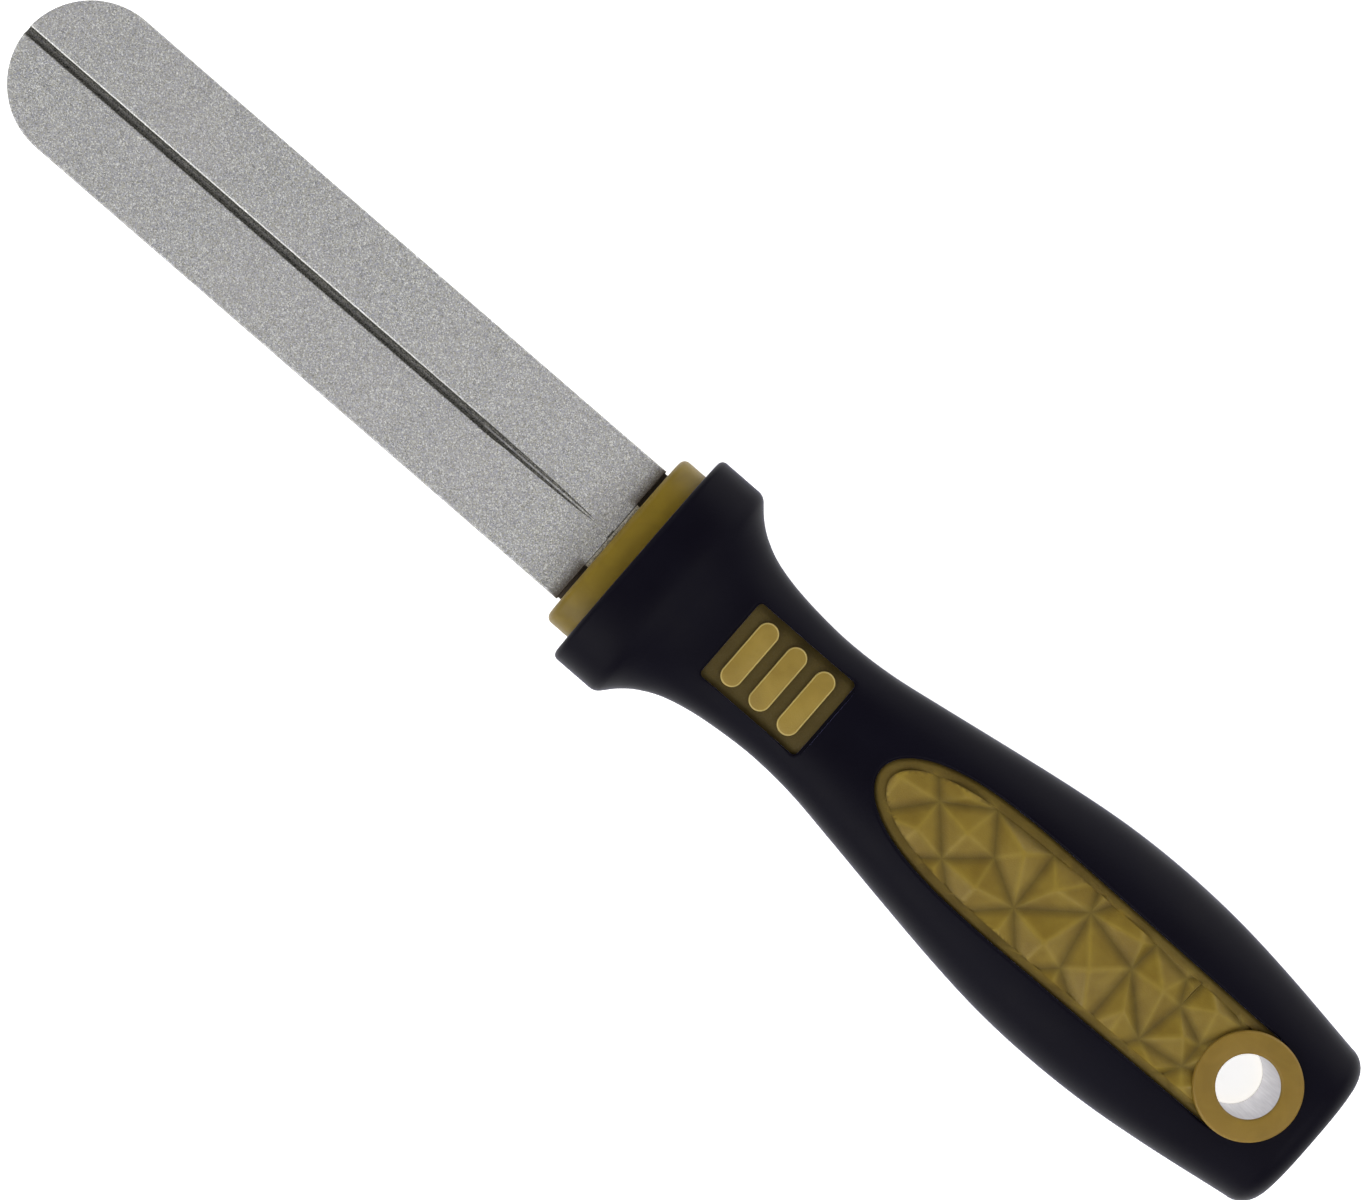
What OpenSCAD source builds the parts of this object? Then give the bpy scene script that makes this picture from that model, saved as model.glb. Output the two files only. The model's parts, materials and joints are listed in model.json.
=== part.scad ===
// Diamond knife and hook sharpener: a flat abrasive plate in a soft-grip handle.
// Lies on its rear face: +X runs to the plate's tip, +Z is the front face's side.
// Places along the plate count from its tip, places along the grip from the guard's front face.

/* [Sharpening plate] */
// Exposed length, tip to shoulders
plate_l = 104.8; // [90:0.1:120]
// Width over the diamond layer
plate_w = 22.8; // [20:0.1:24]
// Thickness over the diamond layer
plate_t = 2.6; // [2.2:0.1:3.2]
// Thickness of the diamond layer
coat_t = 0.12; // [0.1:0.01:0.2]
// Width of the hook groove
groove_w = 1.3; // [1:0.1:1.6]
// Depth of the hook groove
groove_d = 0.8; // [0.6:0.1:0.9]
// Distance from the shoulders to the groove's end
groove_stop = 2.8; // [2:0.1:10]
// Length over which the groove runs out
groove_runout = 20; // [12:0.5:26]

/* [Tang] */
// Width of the tang
tang_w = 10; // [8:0.1:10]
// Length of the tang behind the shoulders
tang_l = 62; // [45:1:80]
// Radius of the two keying holes in the tang
tang_hole_r = 2.5; // [1.5:0.1:3]
// Adhesive gap all round the tang
glue_gap = 0.35; // [0.2:0.05:0.5]
// Stand-off between the shoulders and the collar
shoulder_gap = 0.6; // [0.4:0.1:1]

/* [Handle] */
// Length of the collar in front of the guard
collar_l = 4; // [3:0.1:6]
// Width of the collar
collar_w = 28.7; // [26:0.1:29]
// Thickness of the collar
collar_t = 17; // [15:0.1:17.4]
// Length of the grip, guard face to butt
grip_l = 120.6; // [112:0.1:130]
// Width of the guard
guard_w = 35.2; // [34:0.1:38]
// Width of the palm swell
palm_w = 33.2; // [32:0.1:36]
// Thickness of the guard and the palm swell
grip_t = 23; // [22:0.1:26]

/* [Inlays] */
// Length of the badge window
badge_l = 17; // [15:0.1:19]
// Width of the badge window
badge_w = 12.8; // [12:0.1:14]
// Depth of the badge floor below the grip's surface
badge_d = 0.9; // [0.5:0.1:1.2]
// Width of the palm window
pad_w = 16; // [14:0.1:16.5]
// Width of the plain rim round the pyramids
pad_rim = 1.5; // [1:0.1:2.5]
// Depth of the pits between the pyramids, below the grip's surface
pyramid_h = 1.6; // [0.8:0.1:2]

/* [Hanging hole] */
// Radius of the hole in the liner
hole_r = 4.4; // [4:0.05:4.8]
// Wall of the metal liner
liner_wall = 0.35; // [0.3:0.05:0.6]
// Outer radius of the bush
bush_r = 7.5; // [7:0.1:8]
// Thickness of the bush, face to face
bush_t = 21.1; // [20.6:0.1:21.6]

/* [Hidden] */

total_l = plate_l + shoulder_gap + collar_l + grip_l;
tip_x = total_l / 2;
shoulder_x = tip_x - plate_l;
collar_x = shoulder_x - shoulder_gap;
guard_x = collar_x - collar_l;
mid_z = grip_t / 2;
core_t = plate_t - 2 * coat_t;

tang_hole_places = [0.4, 0.75];
tang_lap = 0.5;
groove_lap = 0.6;
groove_step = 0.06;

round_fn = 96;
ring_points = 48;
section_power = 2.7;
collar_power = 3.4;
edge_steps = 3;

// Grip sections: [distance from the guard face, share of the palm's half width, share of the half thickness].
grip_stations = [
    [8.1, 1.02, 0.96], [9.6, 0.92, 0.885], [11.6, 0.825, 0.825], [14.6, 0.735, 0.77],
    [18.6, 0.672, 0.727], [23.6, 0.632, 0.702], [29.6, 0.613, 0.696], [36.6, 0.638, 0.717],
    [44.6, 0.712, 0.774], [54.6, 0.812, 0.86], [65.6, 0.915, 0.945], [74.6, 0.978, 0.988],
    [83.6, 1, 1], [93.6, 0.98, 0.972], [103.6, 0.915, 0.925], [116.8, 0.795, 0.862]];
station_grip_l = 120.6;
guard_band = 8.1;
guard_round = 0.9;
butt_round = 3.7;
butt_dome = 0.4;
butt_steps = 6;
core_share_w = 0.74;
core_share_t = 0.66;
core_end = 114;
bore_at = 108.2;
bush_ease = 0.25;
liner_lip = 0.6;
badge_at = 25.1;
badge_round = 0.7;
badge_proud = 0.1;
bar_count = 3;
bar_l = 10.4;
bar_w = 3.1;
bar_pitch = 5;
pad_from = 43.4;
pad_nose = 27;
pad_set = 0.5;
lattice = 5.8;
field_floor = 3;
peak_set = 0.3;
cell_rows = 3;
cell_columns = 12;
reach = 40;

// Colours
steel_colour = "#9d9b96";
grit_colour = "#b4b3ae";
glue_colour = "#c9bfa8";
olive_colour = "#8f7a30";
pad_colour = "#80702f";
grip_colour = "#1c1b20";
metal_colour = "#d6d7d9";

function stretch(s) = s * grip_l / station_grip_l;
function grip_x(s) = guard_x - stretch(s);

// Slope at station i of column c, from its neighbours.
function slope(i, c) =
    let (a = grip_stations[max(i - 1, 0)], b = grip_stations[min(i + 1, len(grip_stations) - 1)])
    (b[c] - a[c]) / (b[0] - a[0]);

function span_of(s, i = 0) =
    i >= len(grip_stations) - 2 || s < grip_stations[i + 1][0] ? i : span_of(s, i + 1);

// Cubic curve through column c of the stations.
function along(s, c) =
    let (i = span_of(s), p = grip_stations[i], q = grip_stations[i + 1],
         h = q[0] - p[0], u = max(0, min(1, (s - p[0]) / h)))
    p[c] * (1 + 2 * u) * pow(1 - u, 2) + slope(i, c) * h * u * pow(1 - u, 2)
    + q[c] * u * u * (3 - 2 * u) + slope(i + 1, c) * h * u * u * (u - 1);

// Half width and half thickness of the grip at s, behind its guard band.
function half_w(s) = palm_w / 2 * along(s, 1);
function half_t(s) = grip_t / 2 * along(s, 2);

// Point of a section with half sizes a and b, at angle v.
function section_point(a, b, power, v) =
    [a * sign(cos(v)) * pow(abs(cos(v)), 2 / power), b * sign(sin(v)) * pow(abs(sin(v)), 2 / power)];

// Height of the grip's front surface above its middle plane.
function crown(s, y) =
    let (share = min(0.98, abs(y) / half_w(s)))
    half_t(s) * pow(1 - pow(share, section_power), 1 / section_power);

// Rings of the whole grip: [s, half width, half thickness].
guard_rings = concat(
    [for (k = [0 : edge_steps])
        let (v = 90 * k / edge_steps, cut = guard_round * (1 - sin(v)))
        [guard_round * (1 - cos(v)), guard_w / 2 - cut, grip_t / 2 - cut]],
    [for (k = [0 : edge_steps - 1])
        let (v = 90 * k / edge_steps, cut = guard_round * (1 - cos(v)))
        [guard_band - guard_round * (1 - sin(v)), guard_w / 2 - cut, grip_t / 2 - cut]]);
body_rings = [for (s = [8.1, 8.7, 9.4, 10.3, 11.4, 12.8, 14.6, 16.8, 19.4, 22.4, 25.6, 29, 33, 37.5, 42,
                        47, 52, 57.5, 63, 68.5, 74, 79.5, 85, 90.5, 96, 101.5, 107, 112, 116.8])
    [s, half_w(s), half_t(s)]];
butt_rings = concat(
    [for (k = [1 : butt_steps])
        let (v = 90 * k / butt_steps, cut = butt_round * (1 - cos(v)),
             far = body_rings[len(body_rings) - 1])
        [far[0] + (station_grip_l - butt_dome - far[0]) * sin(v), far[1] - cut, far[2] - cut]],
    [[station_grip_l, 4, 2.6]]);

// Closed loft through rings of [s, half width, half thickness].
module loft(rings) {
    count = len(rings);
    points = [for (ring = rings, k = [0 : ring_points - 1])
        let (p = section_point(ring[1], ring[2], section_power, 360 * k / ring_points))
        [grip_x(ring[0]), p[0], mid_z + p[1]]];
    sides = [for (i = [0 : count - 2], k = [0 : ring_points - 1])
        let (a = i * ring_points + k, b = i * ring_points + (k + 1) % ring_points)
        each [[a, b, b + ring_points], [a, b + ring_points, a + ring_points]]];
    front = [[for (k = [ring_points - 1 : -1 : 0]) k]];
    back = [[for (k = [0 : ring_points - 1]) (count - 1) * ring_points + k]];
    polyhedron(points, concat(sides, front, back));
}

module grip_envelope() {
    loft(concat(guard_rings, body_rings, butt_rings));
}

// Stretch of the grip's body from s = a to s = b, set in by depth.
module grip_stretch(a, b, depth, steps) {
    loft([for (k = [0 : steps])
        let (s = a + (b - a) * k / steps)
        [s, half_w(s) - depth, half_t(s) - depth]]);
}

// Copies its children to the rear face, or leaves them on the front one.
module on_face(rear) {
    if (rear)
        translate([0, 0, grip_t]) mirror([0, 0, 1]) children();
    else
        children();
}

// Outline of the plate, grown by g, from the tip to the shoulders.
module plate_outline(g) {
    r = plate_w / 2 - coat_t + g;
    straight = tip_x - plate_w / 2;
    translate([straight, 0]) circle(r, $fn = round_fn);
    translate([shoulder_x - g + coat_t, -r])
        square([straight - shoulder_x + g - coat_t, 2 * r]);
}

// Round groove, sunk depth deeper than the finished one. Open at the tip, it climbs out near the shoulders.
module hook_groove(depth) {
    r = groove_w / 2 + depth;
    axis_z = mid_z + plate_t / 2 - groove_d + groove_w / 2;
    bend = shoulder_x + groove_stop + groove_runout;
    tilt = atan((groove_d - groove_step) / groove_runout);
    translate([bend, 0, axis_z]) rotate([0, 90, 0])
        cylinder(r = r, h = tip_x - bend + 2, $fn = 48);
    translate([bend, 0, axis_z]) rotate([0, tilt - 90, 0]) translate([0, 0, -groove_lap])
        cylinder(r = r - groove_step, h = groove_runout * 1.3, $fn = 48);
}

// Tang outline, grown by g, ending round.
module tang_outline(g) {
    end = shoulder_x - tang_l + tang_w / 2;
    translate([end, 0]) circle(tang_w / 2 + g, $fn = round_fn);
    translate([end, -tang_w / 2 - g]) square([shoulder_x - end, tang_w + 2 * g]);
}

module steel_plate() {
    color(steel_colour)
        difference() {
            union() {
                translate([0, 0, mid_z - core_t / 2]) linear_extrude(core_t) plate_outline(0);
                translate([tang_lap, 0, mid_z - core_t / 2]) linear_extrude(core_t) tang_outline(0);
            }
            hook_groove(coat_t);
            for (at = tang_hole_places)
                translate([shoulder_x - tang_l * at, 0, 0])
                    cylinder(r = tang_hole_r, h = grip_t, $fn = round_fn);
        }
}

module diamond_coating() {
    color(grit_colour)
        difference() {
            translate([0, 0, mid_z - plate_t / 2]) linear_extrude(plate_t) plate_outline(coat_t);
            difference() {
                translate([0, 0, mid_z - core_t / 2]) linear_extrude(core_t)
                    union() {
                        plate_outline(0);
                        translate([tang_lap, 0]) tang_outline(0);
                    }
                hook_groove(coat_t);
            }
            hook_groove(0);
        }
}

// Filled tang socket, with a bead squeezed out between the shoulders and the collar.
module tang_adhesive() {
    bead_t = core_t + 1.1;
    color(glue_colour)
        difference() {
            union() {
                translate([0, 0, mid_z - core_t / 2 - glue_gap])
                    linear_extrude(core_t + 2 * glue_gap)
                        intersection() {
                            tang_outline(glue_gap);
                            translate([collar_x - reach * 2, -reach]) square([reach * 2, 2 * reach]);
                        }
                translate([collar_x, -tang_w / 2 - glue_gap, mid_z - bead_t / 2])
                    cube([shoulder_gap, tang_w + 2 * glue_gap, bead_t]);
            }
            difference() {
                translate([0, 0, mid_z - core_t / 2]) linear_extrude(core_t) tang_outline(0);
                for (at = tang_hole_places)
                    translate([shoulder_x - tang_l * at, 0, 0])
                        cylinder(r = tang_hole_r, h = grip_t, $fn = round_fn);
            }
        }
}

// Sides of the core, seen from above.
module core_plan() {
    places = [for (k = [0 : 20]) guard_band + (core_end - guard_band) * k / 20];
    polygon(concat(
        [for (s = places) [grip_x(s), core_share_w * half_w(s)]],
        [for (k = [20 : -1 : 0]) [grip_x(places[k]), -core_share_w * half_w(places[k])]]));
}

// Height of the core between its front and rear lands.
module core_lands() {
    places = [for (k = [0 : 20]) guard_band + (core_end - guard_band) * k / 20];
    translate([0, reach / 2, mid_z]) rotate([90, 0, 0])
        linear_extrude(reach)
            polygon(concat(
                [for (s = places) [grip_x(s), core_share_t * half_t(s)]],
                [for (k = [20 : -1 : 0]) [grip_x(places[k]), -core_share_t * half_t(places[k])]]));
}

// Collar and the flange that carries it inside the guard.
module collar_block() {
    translate([guard_x - guard_band, 0, mid_z]) rotate([90, 0, 90])
        linear_extrude(collar_l + guard_band)
            polygon([for (k = [0 : ring_points - 1])
                section_point(collar_w / 2, collar_t / 2, collar_power, 360 * k / ring_points)]);
}

module core_body() {
    collar_block();
    intersection() {
        linear_extrude(grip_t) core_plan();
        core_lands();
    }
}

module handle_core() {
    color(olive_colour)
        difference() {
            core_body();
            translate([0, 0, mid_z - core_t / 2 - glue_gap])
                linear_extrude(core_t + 2 * glue_gap) tang_outline(glue_gap);
            translate([grip_x(bore_at), 0, 0]) cylinder(r = bush_r, h = grip_t, $fn = round_fn);
        }
}

// Half width of the palm window at s, set in by inset.
function pad_half(s, inset) =
    let (from = pad_from + inset * 1.25, u = max(0, min(1, (s - from) / pad_nose)))
    (pad_w / 2 - inset) * sqrt(1 - pow(1 - u, 3));

module pad_outline(inset) {
    from = pad_from + inset * 1.25;
    places = [for (k = [0 : 12]) from + pad_nose * pow(k / 12, 2)];
    polygon(concat(
        [for (s = places) [grip_x(s), pad_half(s, inset)]],
        [[grip_x(bore_at), pad_w / 2 - inset - 0.4], [grip_x(bore_at), -pad_w / 2 + inset + 0.4]],
        [for (k = [12 : -1 : 1]) [grip_x(places[k]), -pad_half(places[k], inset)]]));
}

// Rounded rectangle about the origin.
module rounded_box(l, w, r) {
    square([l - 2 * r, w], center = true);
    square([l, w - 2 * r], center = true);
    for (x = [-1, 1], y = [-1, 1])
        translate([x * (l / 2 - r), y * (w / 2 - r)]) circle(r, $fn = 32);
}

module badge_outline() {
    translate([grip_x(badge_at), 0]) rounded_box(badge_l, badge_w, badge_round);
}

module grip_overmould() {
    color(grip_colour)
        difference() {
            grip_envelope();
            core_body();
            for (rear = [false, true])
                on_face(rear) translate([0, 0, mid_z]) {
                    linear_extrude(grip_t) badge_outline();
                    linear_extrude(grip_t) pad_outline(0);
                }
            translate([grip_x(bore_at), 0, 0]) cylinder(r = bush_r, h = grip_t, $fn = round_fn);
        }
}

// Sunk panel with three raised round-ended bars.
module badge_inlay() {
    from = badge_at - badge_l;
    to = badge_at + badge_l;
    difference() {
        union() {
            intersection() {
                translate([0, 0, mid_z]) linear_extrude(grip_t) badge_outline();
                grip_stretch(from + 2, to - 2, badge_d, 14);
            }
            intersection() {
                translate([0, 0, mid_z]) linear_extrude(grip_t)
                    for (k = [0 : bar_count - 1])
                        translate([grip_x(badge_at) + (k - (bar_count - 1) / 2) * bar_pitch, 0])
                            rounded_box(bar_w, bar_l, bar_w / 2 - 0.01);
                grip_stretch(from + 2, to - 2, badge_proud, 14);
            }
        }
        core_lands();
    }
}

// Corner (i, j) of the pyramid lattice, gently warped: [s, y].
function lattice_point(i, j) =
    [pad_from + 2.6 + lattice * i + 0.7 * sin(95 * i + 60 * j),
     0.9 + lattice * j + 0.8 * sin(70 * i - 40)];

// Field of four-sided pyramids: peaks and pits take turns over the lattice.
module pyramid_field() {
    columns = cell_columns;
    rows = cell_rows;
    wide = 2 * rows + 1;
    floor_z = mid_z + field_floor;
    tops = [for (i = [-1 : columns], j = [-rows : rows])
        let (p = lattice_point(i, j), peak = (i + j) % 2 != 0,
             z = crown(max(p[0], 9), min(abs(p[1]), 9)) - (peak ? peak_set : pyramid_h))
        [grip_x(p[0]), p[1], mid_z + z]];
    base = [for (p = tops) [p[0], p[1], floor_z]];
    count = len(tops);
    function id(i, j) = (i + 1) * wide + j + rows;
    // Each square between four lattice points is folded along the line between its two pits.
    skin = [for (i = [-1 : columns - 1], j = [-rows : rows - 1])
        let (a = id(i, j), b = id(i + 1, j), c = id(i + 1, j + 1), d = id(i, j + 1))
        each ((i + j) % 2 != 0 ? [[a, b, d], [b, c, d]] : [[a, b, c], [a, c, d]])];
    under = [for (f = skin) [f[2] + count, f[1] + count, f[0] + count]];
    rim_low = [for (i = [-1 : columns - 1]) each
        [[id(i + 1, -rows), id(i, -rows), id(i, -rows) + count],
         [id(i + 1, -rows), id(i, -rows) + count, id(i + 1, -rows) + count]]];
    rim_high = [for (i = [-1 : columns - 1]) each
        [[id(i, rows), id(i + 1, rows), id(i + 1, rows) + count],
         [id(i, rows), id(i + 1, rows) + count, id(i, rows) + count]]];
    rim_near = [for (j = [-rows : rows - 1]) each
        [[id(-1, j), id(-1, j + 1), id(-1, j + 1) + count],
         [id(-1, j), id(-1, j + 1) + count, id(-1, j) + count]]];
    rim_far = [for (j = [-rows : rows - 1]) each
        [[id(columns, j + 1), id(columns, j), id(columns, j) + count],
         [id(columns, j + 1), id(columns, j) + count, id(columns, j + 1) + count]]];
    polyhedron(concat(tops, base), concat(skin, under, rim_low, rim_high, rim_near, rim_far));
}

// Rimmed pad with a field of pyramids, cut away round the bush.
module palm_inlay() {
    difference() {
        union() {
            intersection() {
                difference() {
                    translate([0, 0, mid_z]) linear_extrude(grip_t) pad_outline(0);
                    translate([0, 0, mid_z - 1]) linear_extrude(grip_t) pad_outline(pad_rim);
                }
                grip_stretch(pad_from - 2, bore_at + 2, pad_set, 20);
            }
            intersection() {
                translate([0, 0, mid_z]) linear_extrude(grip_t) pad_outline(pad_rim);
                pyramid_field();
            }
        }
        core_lands();
        translate([grip_x(bore_at), 0, 0]) cylinder(r = bush_r, h = grip_t, $fn = round_fn);
    }
}

module front_badge_inlay() { color(olive_colour) badge_inlay(); }
module rear_badge_inlay() { color(olive_colour) on_face(true) badge_inlay(); }
module front_palm_inlay() { color(pad_colour) palm_inlay(); }
module rear_palm_inlay() { color(pad_colour) on_face(true) palm_inlay(); }

// Bush whose two end lips hold the liner in.
module eyelet_bush() {
    seat = hole_r + liner_wall;
    half = bush_t / 2;
    color(olive_colour)
        translate([grip_x(bore_at), 0, mid_z])
            rotate_extrude($fn = round_fn)
                polygon([[hole_r, -half], [bush_r - bush_ease, -half], [bush_r, -half + bush_ease],
                         [bush_r, half - bush_ease], [bush_r - bush_ease, half], [hole_r, half],
                         [hole_r, half - liner_lip], [seat, half - liner_lip],
                         [seat, liner_lip - half], [hole_r, liner_lip - half]]);
}

module eyelet_liner() {
    length = bush_t - 2 * liner_lip;
    color(metal_colour)
        translate([grip_x(bore_at), 0, mid_z])
            difference() {
                cylinder(r = hole_r + liner_wall, h = length, center = true, $fn = round_fn);
                cylinder(r = hole_r, h = grip_t, center = true, $fn = round_fn);
            }
}

steel_plate();
diamond_coating();
tang_adhesive();
handle_core();
grip_overmould();
front_badge_inlay();
rear_badge_inlay();
front_palm_inlay();
rear_palm_inlay();
eyelet_bush();
eyelet_liner();
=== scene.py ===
"""Looks of a flat diamond knife and hook sharpener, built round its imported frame.

The tool lies on its rear face. +X runs to the plate's tip and +Z out of the front face.
Every length named with _mm is in millimetres, and everything else is in metres.
"""

import json
import logging
import math
from collections.abc import Callable, Iterator, Sequence
from contextlib import contextmanager
from dataclasses import dataclass, field
from enum import Enum

import bmesh
import bpy
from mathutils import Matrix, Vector


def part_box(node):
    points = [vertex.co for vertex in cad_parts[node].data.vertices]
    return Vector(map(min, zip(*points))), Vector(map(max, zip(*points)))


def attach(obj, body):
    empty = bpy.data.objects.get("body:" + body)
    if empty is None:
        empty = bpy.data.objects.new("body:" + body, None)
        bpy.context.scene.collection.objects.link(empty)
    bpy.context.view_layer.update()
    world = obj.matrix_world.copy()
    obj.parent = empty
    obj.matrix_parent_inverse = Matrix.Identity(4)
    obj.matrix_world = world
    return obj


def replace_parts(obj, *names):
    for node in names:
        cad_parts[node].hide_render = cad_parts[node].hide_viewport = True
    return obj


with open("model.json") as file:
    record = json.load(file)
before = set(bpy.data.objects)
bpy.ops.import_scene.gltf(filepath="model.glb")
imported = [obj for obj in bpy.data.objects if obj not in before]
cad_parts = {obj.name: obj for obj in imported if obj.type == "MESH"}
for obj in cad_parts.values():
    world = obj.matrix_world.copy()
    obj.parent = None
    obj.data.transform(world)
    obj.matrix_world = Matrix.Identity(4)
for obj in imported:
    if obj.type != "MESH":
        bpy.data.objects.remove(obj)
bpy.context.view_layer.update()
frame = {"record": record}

MM = 0.001
TINY = 0.001 * MM  # places closer than this are the same
MERGED = 0.002 * MM  # a finished piece's points closer than this are merged
OLIVE_DEPTHS = (1.0, 0.62, 0.18)  # how far red, green and blue light sink into olive plastic
log = logging.getLogger("sharpener")

Piece = bpy.types.Object
Tree = bpy.types.NodeTree
Node = bpy.types.Node
Socket = bpy.types.NodeSocket
Outline = list[tuple[float, float]]
Ring = tuple[float, float, float]
Triple = tuple[float, float, float]
Height = Callable[[float, float], float]


# ---------------------------------------------------------------- bench tools


def deselect() -> None:
    """Leaves object mode on, with nothing selected."""
    if bpy.context.object is not None and bpy.context.object.mode != "OBJECT":
        bpy.ops.object.mode_set(mode="OBJECT")
    bpy.ops.object.select_all(action="DESELECT")


def take(obj: Piece) -> Piece:
    """Makes one object the only selected and the active one.

    Args:
        obj: The object to take in hand.

    Returns:
        The same object.
    """
    deselect()
    obj.select_set(True)
    bpy.context.view_layer.objects.active = obj
    return obj


@contextmanager
def editing(obj: Piece, mode: str = "VERT") -> Iterator[Piece]:
    """Holds an object in edit mode, with nothing picked at the start.

    Args:
        obj: The object to edit.
        mode: VERT, EDGE or FACE.

    Yields:
        The same object.
    """
    take(obj)
    bpy.ops.object.mode_set(mode="EDIT")
    bpy.ops.mesh.select_mode(type=mode)
    bpy.ops.mesh.select_all(action="DESELECT")
    try:
        yield obj
    finally:
        bpy.ops.object.mode_set(mode="OBJECT")


def pick_edges(obj: Piece, test: Callable[[Vector, Vector], bool]) -> None:
    """Picks edges in edit mode.

    Args:
        obj: The object being edited.
        test: Says yes or no to an edge's two ends.
    """
    mesh = bmesh.from_edit_mesh(obj.data)
    for edge in [e for e in mesh.edges if test(e.verts[0].co, e.verts[1].co)]:
        edge.select_set(True)
    bmesh.update_edit_mesh(obj.data)


def shape_points(obj: Piece, move: Callable[[int, Vector], Vector]) -> None:
    """Sets the points of an object in edit mode, one by one.

    Args:
        obj: The object being edited.
        move: Gives the new place of a point from its number and its place.
    """
    mesh = bmesh.from_edit_mesh(obj.data)
    mesh.verts.ensure_lookup_table()
    for number, point in enumerate(mesh.verts):
        point.co = move(number, point.co)
    bmesh.update_edit_mesh(obj.data)


def modify(obj: Piece, kind: str, **settings: object) -> Piece:
    """Adds a modifier with its settings and applies it.

    Args:
        obj: The object to modify.
        kind: The modifier's type.
        **settings: The modifier's own settings.

    Returns:
        The same object.
    """
    take(obj)
    modifier = obj.modifiers.new(kind.title(), kind)
    for name, value in settings.items():
        setattr(modifier, name, value)
    bpy.ops.object.modifier_apply(modifier=modifier.name)
    return obj


class Cut(Enum):
    """What one solid does to another."""

    AWAY = "DIFFERENCE"
    WITHIN = "INTERSECT"
    TOGETHER = "UNION"


def carve(obj: Piece, tool: Piece, cut: Cut) -> None:
    """Cuts or joins an object with a tool solid.

    Args:
        obj: The object that changes.
        tool: The solid that does it, used up here.
        cut: What it does.
    """
    modify(obj, "BOOLEAN", object=tool, operation=cut.value, solver="EXACT")
    bpy.data.objects.remove(tool)


def twin(obj: Piece, name: str) -> Piece:
    """Copies an object with a mesh of its own.

    Args:
        obj: The object to copy.
        name: The copy's name.

    Returns:
        The copy, with its doubled points merged.
    """
    copy = bpy.data.objects.new(name, obj.data.copy())
    bpy.context.scene.collection.objects.link(copy)
    with editing(copy):
        bpy.ops.mesh.select_all(action="SELECT")
        bpy.ops.mesh.remove_doubles(threshold=TINY)
    return copy


def settle(obj: Piece, angle: float = 32.0) -> Piece:
    """Merges doubles, turns faces outward, and shades smooth up to an angle.

    Args:
        obj: The piece.
        angle: The sharpest edge that is still smooth, in degrees.

    Returns:
        The same object, at the origin, unturned and unscaled.
    """
    with editing(obj):
        bpy.ops.mesh.select_all(action="SELECT")
        bpy.ops.mesh.remove_doubles(threshold=MERGED)
        bpy.ops.mesh.normals_make_consistent(inside=False)
    take(obj)
    bpy.ops.object.transform_apply(location=True, rotation=True, scale=True)
    bpy.ops.object.shade_smooth_by_angle(angle=math.radians(angle))
    return obj


def other_face(obj: Piece, name: str, mid_z: float) -> Piece:
    """Makes the rear twin of a front piece.

    Args:
        obj: The front piece.
        name: The rear piece's name.
        mid_z: Height of the plane between the two faces.

    Returns:
        The rear piece, a mirrored copy with a mesh of its own.
    """
    rear = twin(obj, name)
    with editing(rear):
        bpy.ops.mesh.select_all(action="SELECT")
        bpy.ops.transform.mirror(
            constraint_axis=(False, False, True), center_override=(0, 0, mid_z)
        )
        bpy.ops.mesh.normals_make_consistent(inside=False)
    return rear


def drawn(name: str, outline: Outline, height: float) -> Piece:
    """Draws a flat face with a given outline.

    Args:
        name: The new object's name.
        outline: Its corners in order, in metres.
        height: The height that it lies at.

    Returns:
        The flat object.
    """
    deselect()
    bpy.ops.mesh.primitive_circle_add(vertices=len(outline), radius=0.01, fill_type="NGON")
    flat = bpy.context.active_object
    flat.name = name
    with editing(flat):
        shape_points(flat, lambda k, _: Vector((*outline[k], height)))
    return flat


def stacked(name: str, levels: Sequence[tuple[Outline, Height]]) -> Piece:
    """Builds a closed solid up through outlines that have as many corners each.

    Args:
        name: The new object's name.
        levels: Each level's outline, and the height at any place on it.

    Returns:
        The solid.
    """
    outline, height = levels[0]
    solid = drawn(name, outline, 0)
    with editing(solid, "FACE"):
        shape_points(solid, lambda k, _: Vector((*outline[k], height(*outline[k]))))
        mesh = bmesh.from_edit_mesh(solid.data)
        corner = {tuple(v.co): k for k, v in enumerate(mesh.verts)}
        bpy.ops.mesh.select_all(action="SELECT")
        for outline, height in levels[1:]:
            bpy.ops.mesh.extrude_region_move()
            mesh = bmesh.from_edit_mesh(solid.data)
            ring = {corner[tuple(v.co)]: v for v in mesh.verts if v.select}
            for k, point in ring.items():
                point.co = Vector((*outline[k], height(*outline[k])))
            corner = {tuple(v.co): k for k, v in ring.items()}
            bmesh.update_edit_mesh(solid.data)
        bpy.ops.mesh.select_all(action="SELECT")
        bpy.ops.mesh.normals_make_consistent(inside=False)
    return solid


def grown(outline: Outline, by: float) -> Outline:
    """Moves every corner of an outline out along its own normal.

    Args:
        outline: Corners in counter-clockwise order.
        by: How far to move, inward if negative.

    Returns:
        The new outline, with as many corners.
    """
    moved = []
    for k, (x, y) in enumerate(outline):
        before, after = outline[k - 1], outline[(k + 1) % len(outline)]
        dx, dy = after[0] - before[0], after[1] - before[1]
        length = math.hypot(dx, dy) or 1.0
        moved.append((x + by * dy / length, y - by * dx / length))
    return moved


# ---------------------------------------------------------------- shared sizes


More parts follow.
